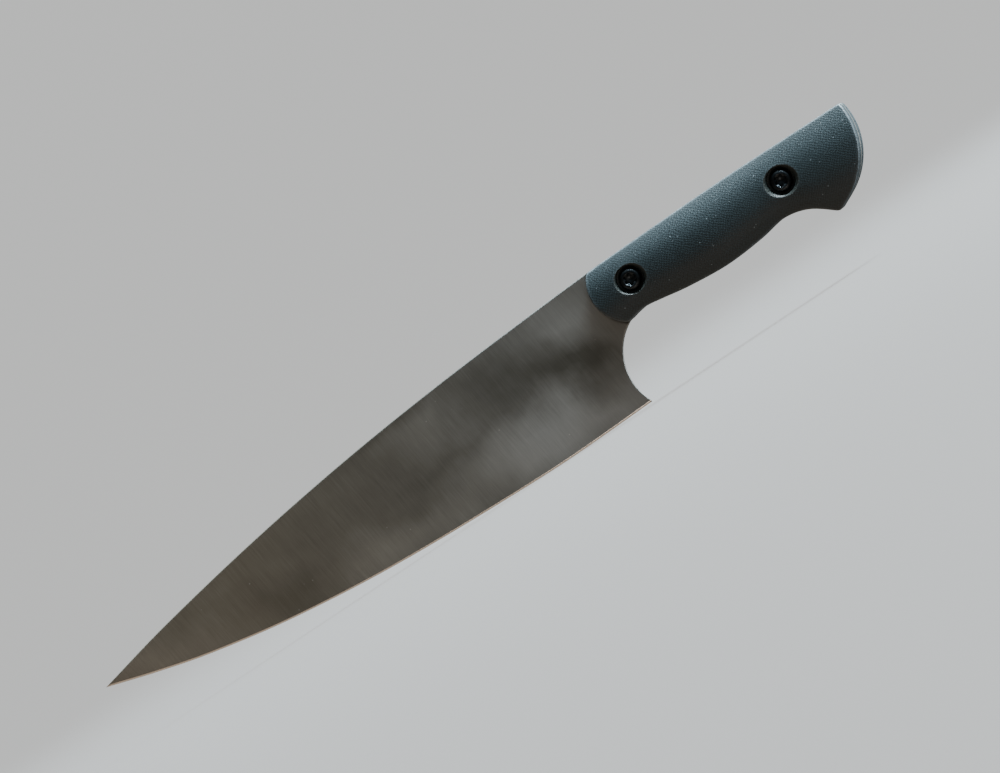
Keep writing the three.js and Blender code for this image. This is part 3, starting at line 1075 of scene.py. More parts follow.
links.new(seat_vector.outputs[0], seat_place.inputs[1])
links.new(side_sign.outputs[0], tip_angle.inputs[0])
links.new(tip_angle.outputs[0], tip_vector.inputs["X"])
links.new(copies.outputs[0], spots.inputs["Count"])
links.new(seat_place.outputs[0], spots.inputs["Position"])
links.new(spots.outputs[0], copy_on.inputs["Points"])
links.new(close_up.outputs["Geometry"], copy_on.inputs["Instance"])
links.new(tip_vector.outputs[0], copy_on.inputs["Rotation"])
links.new(given.outputs["Seed"], wrench.inputs["Seed"])
links.new(wrench.outputs[1], wrench_turn.inputs["Z"])
links.new(copy_on.outputs["Instances"], tighten.inputs["Instances"])
links.new(wrench_turn.outputs[0], tighten.inputs["Rotation"])
links.new(tighten.outputs["Instances"], realize.inputs["Geometry"])
links.new(realize.outputs["Geometry"], finish_material.inputs["Geometry"])
links.new(given.outputs["Material"], finish_material.inputs["Material"])
links.new(finish_material.outputs["Geometry"], made.inputs["Geometry"])
lay_out(turning)
print("nodes in the turning tree:", len(turning.nodes))

# %% [markdown]
# ## Belt-ground steel
# The blade is finished on a belt that runs from spine to edge, so its surface is thousands of
# fine parallel lines, with a haze of handling and a first patina over them. An image could
# hold that, but it would blur up close. Stretched noise gives lines at any distance, and each
# effect has its own frame of nodes: the lines, the haze, the lighter and darker patches that are
# painted reflections, the nicks, and the polished bevel, whose pale warm tone is partly a
# painted highlight. The patches are few and large, so each is placed as a soft spot with a
# wandering outline, and the steel turns warmer towards the tip as a painted warm reflection.
# A painted shadow lies round the front of the scale, where the scale shades the blade.


# %% Start a material
def new_material(name):
    material = bpy.data.materials.new(name)
    material.use_nodes = True
    material.node_tree.nodes.clear()
    return material


# %% The blade's steel
# Painted reflections: soft patches that lighten or darken the blade's faces where reflections fall.
PAINTED_REFLECTIONS = [((-16, -9), 22, 13, 0, 0.35), ((-18, -24), 27, 13, 40, -0.6), ((-36, -36), 52, 15, 3, 0.75),
           ((-42, -13), 24, 14, 10, -0.3), ((-68, -12), 24, 12, 8, 0.3), ((-84, -26), 28, 13, 5, -0.15),
           ((-104, -38), 34, 9, 6, 0.3), ((-135, -33), 24, 10, 12, -0.15), ((-77, -3), 26, 7, 5, -0.2),
           ((-188, -26), 30, 12, 15, 0.3)]  # centre, half length and half width in mm, lean, strength

PAINTED_SHADOW_REACH = 15.6  # from the front screw to where the painted shadow round the scale's front ends


def ground_steel(name, dark, light, bright, painted_warm_reflection, seed):
    """Steel ground with lines down the blade: the tones of its haze, its bevel, and the painted warm
    reflection towards the tip.
    """
    material = new_material(name)
    tree = material.node_tree
    nodes, links = tree.nodes, tree.links
    grind = nodes.new("NodeFrame")
    grind.label = "Lines of the grinding belt"
    haze = nodes.new("NodeFrame")
    haze.label = "Haze and patina"
    # This frame holds painted light: patches that are painted reflections, a painted warm reflection towards
    # the tip, and a painted shadow round the scale's front.
    patina = nodes.new("NodeFrame")
    patina.label = "Painted reflections, warmer towards the tip, and a painted shadow"
    nicks = nodes.new("NodeFrame")
    nicks.label = "Stray scratches and nicks"
    bevel = nodes.new("NodeFrame")
    bevel.label = "Polished bevel with a painted warm highlight"
    output = nodes.new("NodeFrame")
    output.label = "Surface"

    coordinates = nodes.new("ShaderNodeTexCoord")
    coordinates.label = "place on the knife"
    coordinates.parent = grind
    lean = nodes.new("ShaderNodeMapping")
    lean.label = "the belt leans a little"
    lean.parent = grind
    lean.inputs["Rotation"].default_value = (0, math.radians(7), 0)
    lean.inputs["Location"].default_value = (0.013 * seed, 0, 0)
    links.new(coordinates.outputs["Object"], lean.inputs["Vector"])
    fine_stretch = nodes.new("ShaderNodeMapping")
    fine_stretch.label = "fine lines"
    fine_stretch.parent = grind
    fine_stretch.inputs["Scale"].default_value = (3600, 90, 110)
    links.new(lean.outputs["Vector"], fine_stretch.inputs["Vector"])
    fine = nodes.new("ShaderNodeTexNoise")
    fine.label = "fine lines"
    fine.parent = grind
    fine.inputs["Scale"].default_value = 1
    fine.inputs["Detail"].default_value = 3
    fine.inputs["Roughness"].default_value = 0.6
    links.new(fine_stretch.outputs["Vector"], fine.inputs["Vector"])
    coarse_stretch = nodes.new("ShaderNodeMapping")
    coarse_stretch.label = "coarser lines"
    coarse_stretch.parent = grind
    coarse_stretch.inputs["Scale"].default_value = (1100, 60, 42)
    links.new(lean.outputs["Vector"], coarse_stretch.inputs["Vector"])
    coarse = nodes.new("ShaderNodeTexNoise")
    coarse.label = "coarser lines"
    coarse.parent = grind
    coarse.inputs["Scale"].default_value = 1
    coarse.inputs["Detail"].default_value = 4
    coarse.inputs["Roughness"].default_value = 0.55
    links.new(coarse_stretch.outputs["Vector"], coarse.inputs["Vector"])
    lines = nodes.new("ShaderNodeMix")
    lines.label = "both sets of lines"
    lines.parent = grind
    lines.data_type = "FLOAT"
    lines.inputs["Factor"].default_value = 0.3
    links.new(fine.outputs["Fac"], lines.inputs[2])
    links.new(coarse.outputs["Fac"], lines.inputs[3])
    line_tone = nodes.new("ShaderNodeMapRange")
    line_tone.label = "tone of the lines"
    line_tone.parent = grind
    line_tone.inputs["From Min"].default_value = 0.33
    line_tone.inputs["From Max"].default_value = 0.67
    line_tone.inputs["To Min"].default_value = 0.89
    line_tone.inputs["To Max"].default_value = 1.1
    links.new(lines.outputs[0], line_tone.inputs["Value"])

    broad = nodes.new("ShaderNodeTexNoise")
    broad.label = "broad clouds"
    broad.parent = haze
    broad.noise_dimensions = "4D"
    broad.inputs["W"].default_value = seed
    broad.inputs["Scale"].default_value = 17
    broad.inputs["Detail"].default_value = 2
    broad.inputs["Distortion"].default_value = 0.5
    links.new(coordinates.outputs["Object"], broad.inputs["Vector"])
    wiped = nodes.new("ShaderNodeMapping")
    wiped.label = "wiped towards the tip"
    wiped.parent = haze
    wiped.inputs["Scale"].default_value = (38, 60, 85)
    wiped.inputs["Rotation"].default_value = (0, math.radians(-14), 0)
    links.new(coordinates.outputs["Object"], wiped.inputs["Vector"])
    smears = nodes.new("ShaderNodeTexNoise")
    smears.label = "smears"
    smears.parent = haze
    smears.noise_dimensions = "4D"
    smears.inputs["W"].default_value = seed + 4.7
    smears.inputs["Scale"].default_value = 1
    smears.inputs["Detail"].default_value = 4
    smears.inputs["Roughness"].default_value = 0.5
    links.new(wiped.outputs["Vector"], smears.inputs["Vector"])
    cloud = nodes.new("ShaderNodeMix")
    cloud.label = "clouds and smears"
    cloud.parent = haze
    cloud.data_type = "FLOAT"
    cloud.inputs["Factor"].default_value = 0.4
    links.new(broad.outputs["Fac"], cloud.inputs[2])
    links.new(smears.outputs["Fac"], cloud.inputs[3])
    cloud_share = nodes.new("ShaderNodeMapRange")
    cloud_share.label = "how hazed"
    cloud_share.parent = haze
    cloud_share.inputs["From Min"].default_value = 0.3
    cloud_share.inputs["From Max"].default_value = 0.7
    cloud_share.inputs["To Min"].default_value = 0.26
    cloud_share.inputs["To Max"].default_value = 0.62
    links.new(cloud.outputs[0], cloud_share.inputs["Value"])

    ragged = nodes.new("ShaderNodeTexNoise")
    ragged.label = "ragged outlines"
    ragged.parent = patina
    ragged.inputs["Scale"].default_value = 60
    ragged.inputs["Detail"].default_value = 3
    links.new(coordinates.outputs["Object"], ragged.inputs["Vector"])
    ragged_centred = nodes.new("ShaderNodeVectorMath")
    ragged_centred.operation = "SUBTRACT"
    ragged_centred.inputs[1].default_value = (0.5, 0.5, 0.5)
    ragged_centred.label = "either way"
    ragged_centred.parent = patina
    links.new(ragged.outputs["Color"], ragged_centred.inputs[0])
    ragged_place = nodes.new("ShaderNodeVectorMath")
    ragged_place.operation = "MULTIPLY_ADD"
    ragged_place.inputs[1].default_value = (0.02, 0.02, 0.02)
    ragged_place.label = "place, moved a few millimetres"
    ragged_place.parent = patina
    links.new(ragged_centred.outputs[0], ragged_place.inputs[0])
    links.new(coordinates.outputs["Object"], ragged_place.inputs[2])
    patched = cloud_share
    # Each patch adds painted reflection: a positive strength lightens the steel, a negative one darkens it.
    for number, (centre, half_length, half_width, turn, strength) in enumerate(PAINTED_REFLECTIONS, 1):
        spot_place = nodes.new("ShaderNodeMapping")
        spot_place.vector_type = "TEXTURE"
        spot_place.inputs["Location"].default_value = in_row(centre)
        spot_place.inputs["Rotation"].default_value = (0, math.radians(turn), 0)
        spot_place.inputs["Scale"].default_value = (half_length * MM, 1, half_width * MM)
        spot_place.label = f"place of patch {number}"
        spot_place.parent = patina
        links.new(ragged_place.outputs[0], spot_place.inputs["Vector"])
        spot = nodes.new("ShaderNodeTexGradient")
        spot.gradient_type = "SPHERICAL"
        spot.label = f"patch {number}"
        spot.parent = patina
        links.new(spot_place.outputs["Vector"], spot.inputs["Vector"])
        added = nodes.new("ShaderNodeMath")
        added.operation = "MULTIPLY_ADD"
        added.inputs[1].default_value = strength
        added.label = f"with patch {number}"
        added.parent = patina
        links.new(spot.outputs["Fac"], added.inputs[0])
        links.new(patched.outputs[0], added.inputs[2])
        patched = added
    parts = nodes.new("ShaderNodeSeparateXYZ")
    parts.label = "how far along"
    parts.parent = patina
    links.new(coordinates.outputs["Object"], parts.inputs["Vector"])
    # A painted warm reflection: the steel's tone turns warmer towards the tip.
    tip_share = nodes.new("ShaderNodeMapRange")
    tip_share.label = "how near the tip"
    tip_share.parent = patina
    tip_share.inputs["From Min"].default_value = in_row((-40, 0)).x
    tip_share.inputs["From Max"].default_value = in_row((-150, 0)).x
    links.new(parts.outputs["X"], tip_share.inputs["Value"])
    warm_reflection_tint = nodes.new("ShaderNodeMix")
    warm_reflection_tint.label = "painted warm reflection towards the tip"
    warm_reflection_tint.parent = patina
    warm_reflection_tint.data_type = "RGBA"
    warm_reflection_tint.inputs[6].default_value = (1, 1, 1, 1)
    warm_reflection_tint.inputs[7].default_value = (*painted_warm_reflection, 1)
    links.new(tip_share.outputs[0], warm_reflection_tint.inputs["Factor"])

    tone = nodes.new("ShaderNodeMix")
    tone.label = "tone of the haze and the painted reflections"
    tone.parent = haze
    tone.data_type = "RGBA"
    tone.inputs[6].default_value = (*dark, 1)
    tone.inputs[7].default_value = (*light, 1)
    links.new(patched.outputs[0], tone.inputs["Factor"])
    tinted = nodes.new("ShaderNodeMix")
    tinted.label = "haze with the painted warm reflection"
    tinted.parent = patina
    tinted.data_type = "RGBA"
    tinted.blend_type = "MULTIPLY"
    tinted.inputs["Factor"].default_value = 1
    links.new(tone.outputs[2], tinted.inputs[6])
    links.new(warm_reflection_tint.outputs[2], tinted.inputs[7])
    # Painted shadow: a band of the blade's sides round the scale's front is darkened, where the scale shades
    # the blade.
    from_screw = nodes.new("ShaderNodeVectorMath")
    from_screw.operation = "SUBTRACT"
    from_screw.inputs[1].default_value = in_row(FRONT_HOLE)
    from_screw.label = "from the front screw, which the scale's front goes round"
    from_screw.parent = patina
    links.new(coordinates.outputs["Object"], from_screw.inputs[0])
    flattened = nodes.new("ShaderNodeVectorMath")
    flattened.operation = "MULTIPLY"
    flattened.inputs[1].default_value = (1, 0, 1)
    flattened.label = "along and up only"
    flattened.parent = patina
    links.new(from_screw.outputs[0], flattened.inputs[0])
    screw_distance = nodes.new("ShaderNodeVectorMath")
    screw_distance.operation = "LENGTH"
    screw_distance.label = "how far from the screw"
    screw_distance.parent = patina
    links.new(flattened.outputs[0], screw_distance.inputs[0])
    facing = nodes.new("ShaderNodeSeparateXYZ")
    facing.label = "which way the face looks"
    facing.parent = patina
    links.new(coordinates.outputs["Normal"], facing.inputs["Vector"])
    sides_only = nodes.new("ShaderNodeMath")
    sides_only.operation = "MULTIPLY"
    sides_only.label = "sides only, so that the tang's spine stays bright"
    sides_only.parent = patina
    links.new(facing.outputs["Y"], sides_only.inputs[0])
    links.new(facing.outputs["Y"], sides_only.inputs[1])
    painted_shadow_share = nodes.new("ShaderNodeMapRange")
    painted_shadow_share.label = "how near the scale's front"
    painted_shadow_share.parent = patina
    painted_shadow_share.interpolation_type = "SMOOTHSTEP"
    painted_shadow_share.inputs["From Min"].default_value = PAINTED_SHADOW_REACH * MM
    painted_shadow_share.inputs["From Max"].default_value = FRONT_REACH * MM
    links.new(sides_only.outputs[0], painted_shadow_share.inputs["To Max"])
    links.new(screw_distance.outputs["Value"], painted_shadow_share.inputs["Value"])
    painted_shadow_tone = nodes.new("ShaderNodeMix")
    painted_shadow_tone.label = "painted shadow where the scale meets the blade"
    painted_shadow_tone.parent = patina
    painted_shadow_tone.data_type = "RGBA"
    painted_shadow_tone.inputs[7].default_value = (*(0.48 * c for c in dark), 1)
    links.new(painted_shadow_share.outputs[0], painted_shadow_tone.inputs["Factor"])
    links.new(tinted.outputs[2], painted_shadow_tone.inputs[6])
    lined_tone = nodes.new("ShaderNodeMix")
    lined_tone.label = "haze over the lines"
    lined_tone.parent = haze
    lined_tone.data_type = "RGBA"
    lined_tone.blend_type = "MULTIPLY"
    lined_tone.inputs["Factor"].default_value = 1
    links.new(painted_shadow_tone.outputs[2], lined_tone.inputs[6])
    links.new(line_tone.outputs[0], lined_tone.inputs[7])

    across = nodes.new("ShaderNodeMapping")
    across.label = "scratches of use, near the length"
    across.parent = nicks
    across.inputs["Rotation"].default_value = (0, math.radians(68), 0)
    across.inputs["Scale"].default_value = (1500, 60, 26)
    links.new(coordinates.outputs["Object"], across.inputs["Vector"])
    stray = nodes.new("ShaderNodeTexNoise")
    stray.label = "stray scratches"
    stray.parent = nicks
    stray.inputs["Scale"].default_value = 1
    stray.inputs["Detail"].default_value = 1
    links.new(across.outputs["Vector"], stray.inputs["Vector"])
    stray_few = nodes.new("ShaderNodeMapRange")
    stray_few.label = "only the deepest"
    stray_few.parent = nicks
    stray_few.inputs["From Min"].default_value = 0.76
    stray_few.inputs["From Max"].default_value = 0.84
    links.new(stray.outputs["Fac"], stray_few.inputs["Value"])
    specks = nodes.new("ShaderNodeTexVoronoi")
    specks.label = "nicks"
    specks.parent = nicks
    specks.inputs["Scale"].default_value = 330
    links.new(coordinates.outputs["Object"], specks.inputs["Vector"])
    speck_size = nodes.new("ShaderNodeMapRange")
    speck_size.label = "size of a nick"
    speck_size.parent = nicks
    speck_size.inputs["From Min"].default_value = 0.1
    speck_size.inputs["From Max"].default_value = 0.04
    links.new(specks.outputs["Distance"], speck_size.inputs["Value"])
    speck_pick = nodes.new("ShaderNodeSeparateColor")
    speck_pick.label = "a number for each nick"
    speck_pick.parent = nicks
    links.new(specks.outputs["Color"], speck_pick.inputs["Color"])
    speck_few = nodes.new("ShaderNodeMath")
    speck_few.operation = "GREATER_THAN"
    speck_few.inputs[1].default_value = 0.9
    speck_few.label = "one in ten"
    speck_few.parent = nicks
    links.new(speck_pick.outputs[0], speck_few.inputs[0])
    speck_mask = nodes.new("ShaderNodeMath")
    speck_mask.operation = "MULTIPLY"
    speck_mask.label = "nicks"
    speck_mask.parent = nicks
    links.new(speck_size.outputs[0], speck_mask.inputs[0])
    links.new(speck_few.outputs[0], speck_mask.inputs[1])
    marks = nodes.new("ShaderNodeMath")
    marks.operation = "MAXIMUM"
    marks.label = "scratches or nicks"
    marks.parent = nicks
    links.new(stray_few.outputs[0], marks.inputs[0])
    links.new(speck_mask.outputs[0], marks.inputs[1])
    marks_soft = nodes.new("ShaderNodeMath")
    marks_soft.operation = "MULTIPLY"
    marks_soft.inputs[1].default_value = 0.4
    marks_soft.label = "how bright"
    marks_soft.parent = nicks
    links.new(marks.outputs[0], marks_soft.inputs[0])
    marked_tone = nodes.new("ShaderNodeMix")
    marked_tone.label = "marked steel"
    marked_tone.parent = nicks
    marked_tone.data_type = "RGBA"
    marked_tone.inputs[7].default_value = (*bright, 1)
    links.new(marks_soft.outputs[0], marked_tone.inputs["Factor"])
    links.new(lined_tone.outputs[2], marked_tone.inputs[6])

    on_bevel_value = nodes.new("ShaderNodeAttribute")
    on_bevel_value.label = "on the bevel"
    on_bevel_value.parent = bevel
    on_bevel_value.attribute_name = "bevel"
    hone_stretch = nodes.new("ShaderNodeMapping")
    hone_stretch.label = "lines of the whetstone"
    hone_stretch.parent = bevel
    hone_stretch.inputs["Scale"].default_value = (700, 700, 5000)
    hone_stretch.inputs["Rotation"].default_value = (0, math.radians(35), 0)
    links.new(coordinates.outputs["Object"], hone_stretch.inputs["Vector"])
    hone = nodes.new("ShaderNodeTexNoise")
    hone.label = "lines of the whetstone"
    hone.parent = bevel
    hone.inputs["Scale"].default_value = 1
    links.new(hone_stretch.outputs["Vector"], hone.inputs["Vector"])
    # The bevel's tone is paler and warmer than the face: partly its polish, partly a painted warm highlight.
    hone_tone = nodes.new("ShaderNodeMix")
    hone_tone.label = "tone of the bevel, partly a painted warm highlight"
    hone_tone.parent = bevel
    hone_tone.data_type = "RGBA"
    hone_tone.inputs[6].default_value = (*(0.8 * c for c in bright), 1)
    hone_tone.inputs[7].default_value = (*bright, 1)
    links.new(hone.outputs["Fac"], hone_tone.inputs["Factor"])
    final_tone = nodes.new("ShaderNodeMix")
    final_tone.label = "face or bevel"
    final_tone.parent = bevel
    final_tone.data_type = "RGBA"
    links.new(on_bevel_value.outputs["Fac"], final_tone.inputs["Factor"])
    links.new(marked_tone.outputs[2], final_tone.inputs[6])
    links.new(hone_tone.outputs[2], final_tone.inputs[7])

    haze_roughness = nodes.new("ShaderNodeMapRange")
    haze_roughness.label = "haze is rougher"
    haze_roughness.parent = output
    haze_roughness.inputs["To Min"].default_value = 0.36
    haze_roughness.inputs["To Max"].default_value = 0.46
    links.new(patched.outputs[0], haze_roughness.inputs["Value"])
    line_roughness = nodes.new("ShaderNodeMath")
    line_roughness.operation = "MULTIPLY_ADD"
    line_roughness.inputs[1].default_value = 0.14
    line_roughness.label = "lines vary it"
    line_roughness.parent = output
    links.new(lines.outputs[0], line_roughness.inputs[0])
    links.new(haze_roughness.outputs[0], line_roughness.inputs[2])
    final_roughness = nodes.new("ShaderNodeMix")
    final_roughness.label = "face or bevel"
    final_roughness.parent = output
    final_roughness.data_type = "FLOAT"
    final_roughness.inputs[3].default_value = 0.27
    links.new(on_bevel_value.outputs["Fac"], final_roughness.inputs["Factor"])
    links.new(line_roughness.outputs[0], final_roughness.inputs[2])
    bump = nodes.new("ShaderNodeBump")
    bump.label = "depth of the lines"
    bump.parent = output
    bump.inputs["Strength"].default_value = 0.3
    bump.inputs["Distance"].default_value = 0.00004
    links.new(lines.outputs[0], bump.inputs["Height"])
    shader = nodes.new("ShaderNodeBsdfPrincipled")
    shader.label = "steel"
    shader.parent = output
    shader.inputs["Metallic"].default_value = 1
    links.new(final_tone.outputs[2], shader.inputs["Base Color"])
    links.new(final_roughness.outputs[0], shader.inputs["Roughness"])
    links.new(bump.outputs["Normal"], shader.inputs["Normal"])
    surface = nodes.new("ShaderNodeOutputMaterial")
    surface.label = "surface"
    surface.parent = output
    links.new(shader.outputs["BSDF"], surface.inputs["Surface"])
    lay_out(tree)
    print(name, "has", len(nodes), "nodes")
    return material


# The tint towards the tip is a painted warm reflection; the bright tone of the nicks and the bevel is pale
# and warm partly as a painted highlight.
blade_steel = ground_steel("belt_ground_steel", dark=(0.2, 0.195, 0.172), light=(0.48, 0.474, 0.455),
                           bright=(0.95, 0.9, 0.84), painted_warm_reflection=(1.06, 0.95, 0.82), seed=3)
blade.data.materials.append(blade_steel)

# %% [markdown]
# ## Cloth laminate
# The scales are woven cloth in resin. Where the surface runs along the cloth its threads show
# as fine dots, and where the surface is cut at a slant, the edges of the layers show as
# contour lines, as on a map. A solid texture does the same by itself: layers are slices of
# the distance from the mid-plane, and the weave is drawn anew in each slice.


# %% The laminate
def cloth_laminate(name, resin, thread, fleck):
    """Woven cloth in resin: the tones of the resin, of the thread and of its pale flecks."""
    material = new_material(name)
    tree = material.node_tree
    nodes, links = tree.nodes, tree.links
    layers = nodes.new("NodeFrame")
    layers.label = "Layers"
    weave = nodes.new("NodeFrame")
    weave.label = "Weave"
    colour = nodes.new("NodeFrame")
    colour.label = "Colour"
    wear = nodes.new("NodeFrame")
    wear.label = "Wear, and painted shade and warmth in the counterbores"
    output = nodes.new("NodeFrame")
    output.label = "Surface"
    thread_pitch = 0.0011
    layer_pitch = 0.00042

    coordinates = nodes.new("ShaderNodeTexCoord")
    coordinates.label = "place on the knife"
    coordinates.parent = layers
    wander = nodes.new("ShaderNodeTexNoise")
    wander.label = "the layers wander"
    wander.parent = layers
    wander.inputs["Scale"].default_value = 110
    wander.inputs["Detail"].default_value = 3
    links.new(coordinates.outputs["Object"], wander.inputs["Vector"])
    parts = nodes.new("ShaderNodeSeparateXYZ")
    parts.label = "along, out and up"
    parts.parent = layers
    links.new(coordinates.outputs["Object"], parts.inputs["Vector"])
    layer_count = nodes.new("ShaderNodeMath")
    layer_count.operation = "MULTIPLY"
    layer_count.inputs[1].default_value = 1 / layer_pitch
    layer_count.label = "layers from the mid-plane"
    layer_count.parent = layers
    links.new(parts.outputs["Y"], layer_count.inputs[0])
    layer_wavy = nodes.new("ShaderNodeMath")
    layer_wavy.operation = "MULTIPLY_ADD"
    layer_wavy.inputs[1].default_value = 1.1
    layer_wavy.label = "wavy layers"
    layer_wavy.parent = layers
    links.new(wander.outputs["Fac"], layer_wavy.inputs[0])
    links.new(layer_count.outputs[0], layer_wavy.inputs[2])
    layer_number = nodes.new("ShaderNodeMath")
    layer_number.operation = "FLOOR"
    layer_number.label = "which layer"
    layer_number.parent = layers
    links.new(layer_wavy.outputs[0], layer_number.inputs[0])
    in_layer = nodes.new("ShaderNodeMath")
    in_layer.operation = "FRACT"
    in_layer.label = "depth in the layer"
    in_layer.parent = layers
    links.new(layer_wavy.outputs[0], in_layer.inputs[0])
    layer_random = nodes.new("ShaderNodeTexWhiteNoise")
    layer_random.label = "each layer lies its own way"
    layer_random.parent = layers
    layer_random.noise_dimensions = "1D"
    links.new(layer_number.outputs[0], layer_random.inputs["W"])
    resin_line = nodes.new("ShaderNodeMapRange")
    resin_line.label = "resin between the layers"
    resin_line.parent = layers
    resin_line.interpolation_type = "SMOOTHSTEP"
    resin_line.inputs["From Min"].default_value = 0.3
    resin_line.inputs["From Max"].default_value = 0.0
    links.new(in_layer.outputs[0], resin_line.inputs["Value"])

    slip = nodes.new("ShaderNodeVectorMath")
    slip.operation = "SCALE"
    slip.inputs["Scale"].default_value = thread_pitch * 0.3
    slip.label = "slip of the layer"
    slip.parent = weave
    links.new(layer_random.outputs["Color"], slip.inputs[0])
    crimp = nodes.new("ShaderNodeTexNoise")
    crimp.label = "threads are not straight"
    crimp.parent = weave
    crimp.inputs["Scale"].default_value = 600
    crimp.inputs["Detail"].default_value = 2
    links.new(coordinates.outputs["Object"], crimp.inputs["Vector"])
    crimp_size = nodes.new("ShaderNodeVectorMath")
    crimp_size.operation = "SCALE"
    crimp_size.inputs["Scale"].default_value = thread_pitch * 1.2
    crimp_size.label = "by a thread or so"
    crimp_size.parent = weave
    links.new(crimp.outputs["Color"], crimp_size.inputs[0])
    slipped = nodes.new("ShaderNodeVectorMath")
    slipped.operation = "ADD"
    slipped.label = "slipped"
    slipped.parent = weave
    links.new(coordinates.outputs["Object"], slipped.inputs[0])
    links.new(slip.outputs[0], slipped.inputs[1])
    crimped = nodes.new("ShaderNodeVectorMath")
    crimped.operation = "ADD"
    crimped.label = "slipped and crimped"
    crimped.parent = weave
    links.new(slipped.outputs[0], crimped.inputs[0])
    links.new(crimp_size.outputs[0], crimped.inputs[1])
    cloth_way = nodes.new("ShaderNodeMapping")
    cloth_way.label = "the cloth lies along the handle"
    cloth_way.parent = weave
    cloth_way.inputs["Rotation"].default_value = (0, math.radians(4), 0)
    cloth_way.inputs["Scale"].default_value = (2 * math.pi / thread_pitch, 1, 2 * math.pi / thread_pitch)
    links.new(crimped.outputs[0], cloth_way.inputs["Vector"])
    threads = nodes.new("ShaderNodeSeparateXYZ")
    threads.label = "warp and weft"
    threads.parent = weave
    links.new(cloth_way.outputs["Vector"], threads.inputs["Vector"])
    warp = nodes.new("ShaderNodeMath")
    warp.operation = "SINE"
    warp.label = "warp"
    warp.parent = weave
    links.new(threads.outputs["X"], warp.inputs[0])
    weft = nodes.new("ShaderNodeMath")
    weft.operation = "SINE"
    weft.label = "weft"
    weft.parent = weave
    links.new(threads.outputs["Z"], weft.inputs[0])
    over = nodes.new("ShaderNodeMath")
    over.operation = "MULTIPLY"
    over.label = "over and under"
    over.parent = weave
    links.new(warp.outputs[0], over.inputs[0])
    links.new(weft.outputs[0], over.inputs[1])
    thread_height = nodes.new("ShaderNodeMapRange")
    thread_height.label = "height of the threads"
    thread_height.parent = weave
    thread_height.inputs["From Min"].default_value = -0.9
    thread_height.inputs["From Max"].default_value = 0.9
    links.new(over.outputs[0], thread_height.inputs["Value"])
    fibre = nodes.new("ShaderNodeTexNoise")
    fibre.label = "fibres"
    fibre.parent = weave
    fibre.inputs["Scale"].default_value = 2600
    fibre.inputs["Detail"].default_value = 2
    links.new(coordinates.outputs["Object"], fibre.inputs["Vector"])
    cloth_height = nodes.new("ShaderNodeMix")
    cloth_height.label = "threads and fibres"
    cloth_height.parent = weave
    cloth_height.data_type = "FLOAT"
    cloth_height.inputs["Factor"].default_value = 0.4
    links.new(thread_height.outputs[0], cloth_height.inputs[2])
    links.new(fibre.outputs["Fac"], cloth_height.inputs[3])

    cloth_tone = nodes.new("ShaderNodeMix")
    cloth_tone.label = "resin or thread"
    cloth_tone.parent = colour
    cloth_tone.data_type = "RGBA"
    cloth_tone.inputs[6].default_value = (*resin, 1)
    cloth_tone.inputs[7].default_value = (*thread, 1)
    links.new(cloth_height.outputs[0], cloth_tone.inputs["Factor"])
    line_share = nodes.new("ShaderNodeMath")
    line_share.operation = "MULTIPLY"
    line_share.inputs[1].default_value = 0.1
    line_share.label = "how dark the lines are"
    line_share.parent = colour
    links.new(resin_line.outputs[0], line_share.inputs[0])
    contour_tone = nodes.new("ShaderNodeMix")
    contour_tone.label = "contour lines"
    contour_tone.parent = colour
    contour_tone.data_type = "RGBA"
    contour_tone.inputs[7].default_value = (*(0.7 * c for c in resin), 1)
    links.new(line_share.outputs[0], contour_tone.inputs["Factor"])
    links.new(cloth_tone.outputs[2], contour_tone.inputs[6])
    layer_shade = nodes.new("ShaderNodeMapRange")
    layer_shade.label = "some layers took more dye"
    layer_shade.parent = colour
    layer_shade.inputs["To Min"].default_value = 0.95
    layer_shade.inputs["To Max"].default_value = 1.05
    links.new(layer_random.outputs["Value"], layer_shade.inputs["Value"])
    shaded_tone = nodes.new("ShaderNodeMix")
    shaded_tone.label = "dyed layers"
    shaded_tone.parent = colour
    shaded_tone.data_type = "RGBA"
    shaded_tone.blend_type = "MULTIPLY"
    shaded_tone.inputs["Factor"].default_value = 1
    links.new(contour_tone.outputs[2], shaded_tone.inputs[6])
    links.new(layer_shade.outputs[0], shaded_tone.inputs[7])
    flecks = nodes.new("ShaderNodeTexVoronoi")
    flecks.label = "pale flecks"
    flecks.parent = colour
    flecks.inputs["Scale"].default_value = 1000
    links.new(coordinates.outputs["Object"], flecks.inputs["Vector"])
    fleck_size = nodes.new("ShaderNodeMapRange")
    fleck_size.label = "size of a fleck"
    fleck_size.parent = colour
    fleck_size.inputs["From Min"].default_value = 0.27
    fleck_size.inputs["From Max"].default_value = 0.12
    links.new(flecks.outputs["Distance"], fleck_size.inputs["Value"])
    fleck_pick = nodes.new("ShaderNodeSeparateColor")
    fleck_pick.label = "a number for each fleck"
    fleck_pick.parent = colour
    links.new(flecks.outputs["Color"], fleck_pick.inputs["Color"])
    fleck_few = nodes.new("ShaderNodeMath")
    fleck_few.operation = "GREATER_THAN"
    fleck_few.inputs[1].default_value = 0.97
    fleck_few.label = "one in thirty"
    fleck_few.parent = colour
    links.new(fleck_pick.outputs[0], fleck_few.inputs[0])
    fleck_mask = nodes.new("ShaderNodeMath")
    fleck_mask.operation = "MULTIPLY"
    fleck_mask.label = "flecks"
    fleck_mask.parent = colour
    links.new(fleck_size.outputs[0], fleck_mask.inputs[0])
    links.new(fleck_few.outputs[0], fleck_mask.inputs[1])
    fleck_tone = nodes.new("ShaderNodeMix")
    fleck_tone.label = "flecked cloth"
    fleck_tone.parent = colour
    fleck_tone.data_type = "RGBA"
    fleck_tone.inputs[7].default_value = (*fleck, 1)
    links.new(fleck_mask.outputs[0], fleck_tone.inputs["Factor"])
    links.new(shaded_tone.outputs[2], fleck_tone.inputs[6])

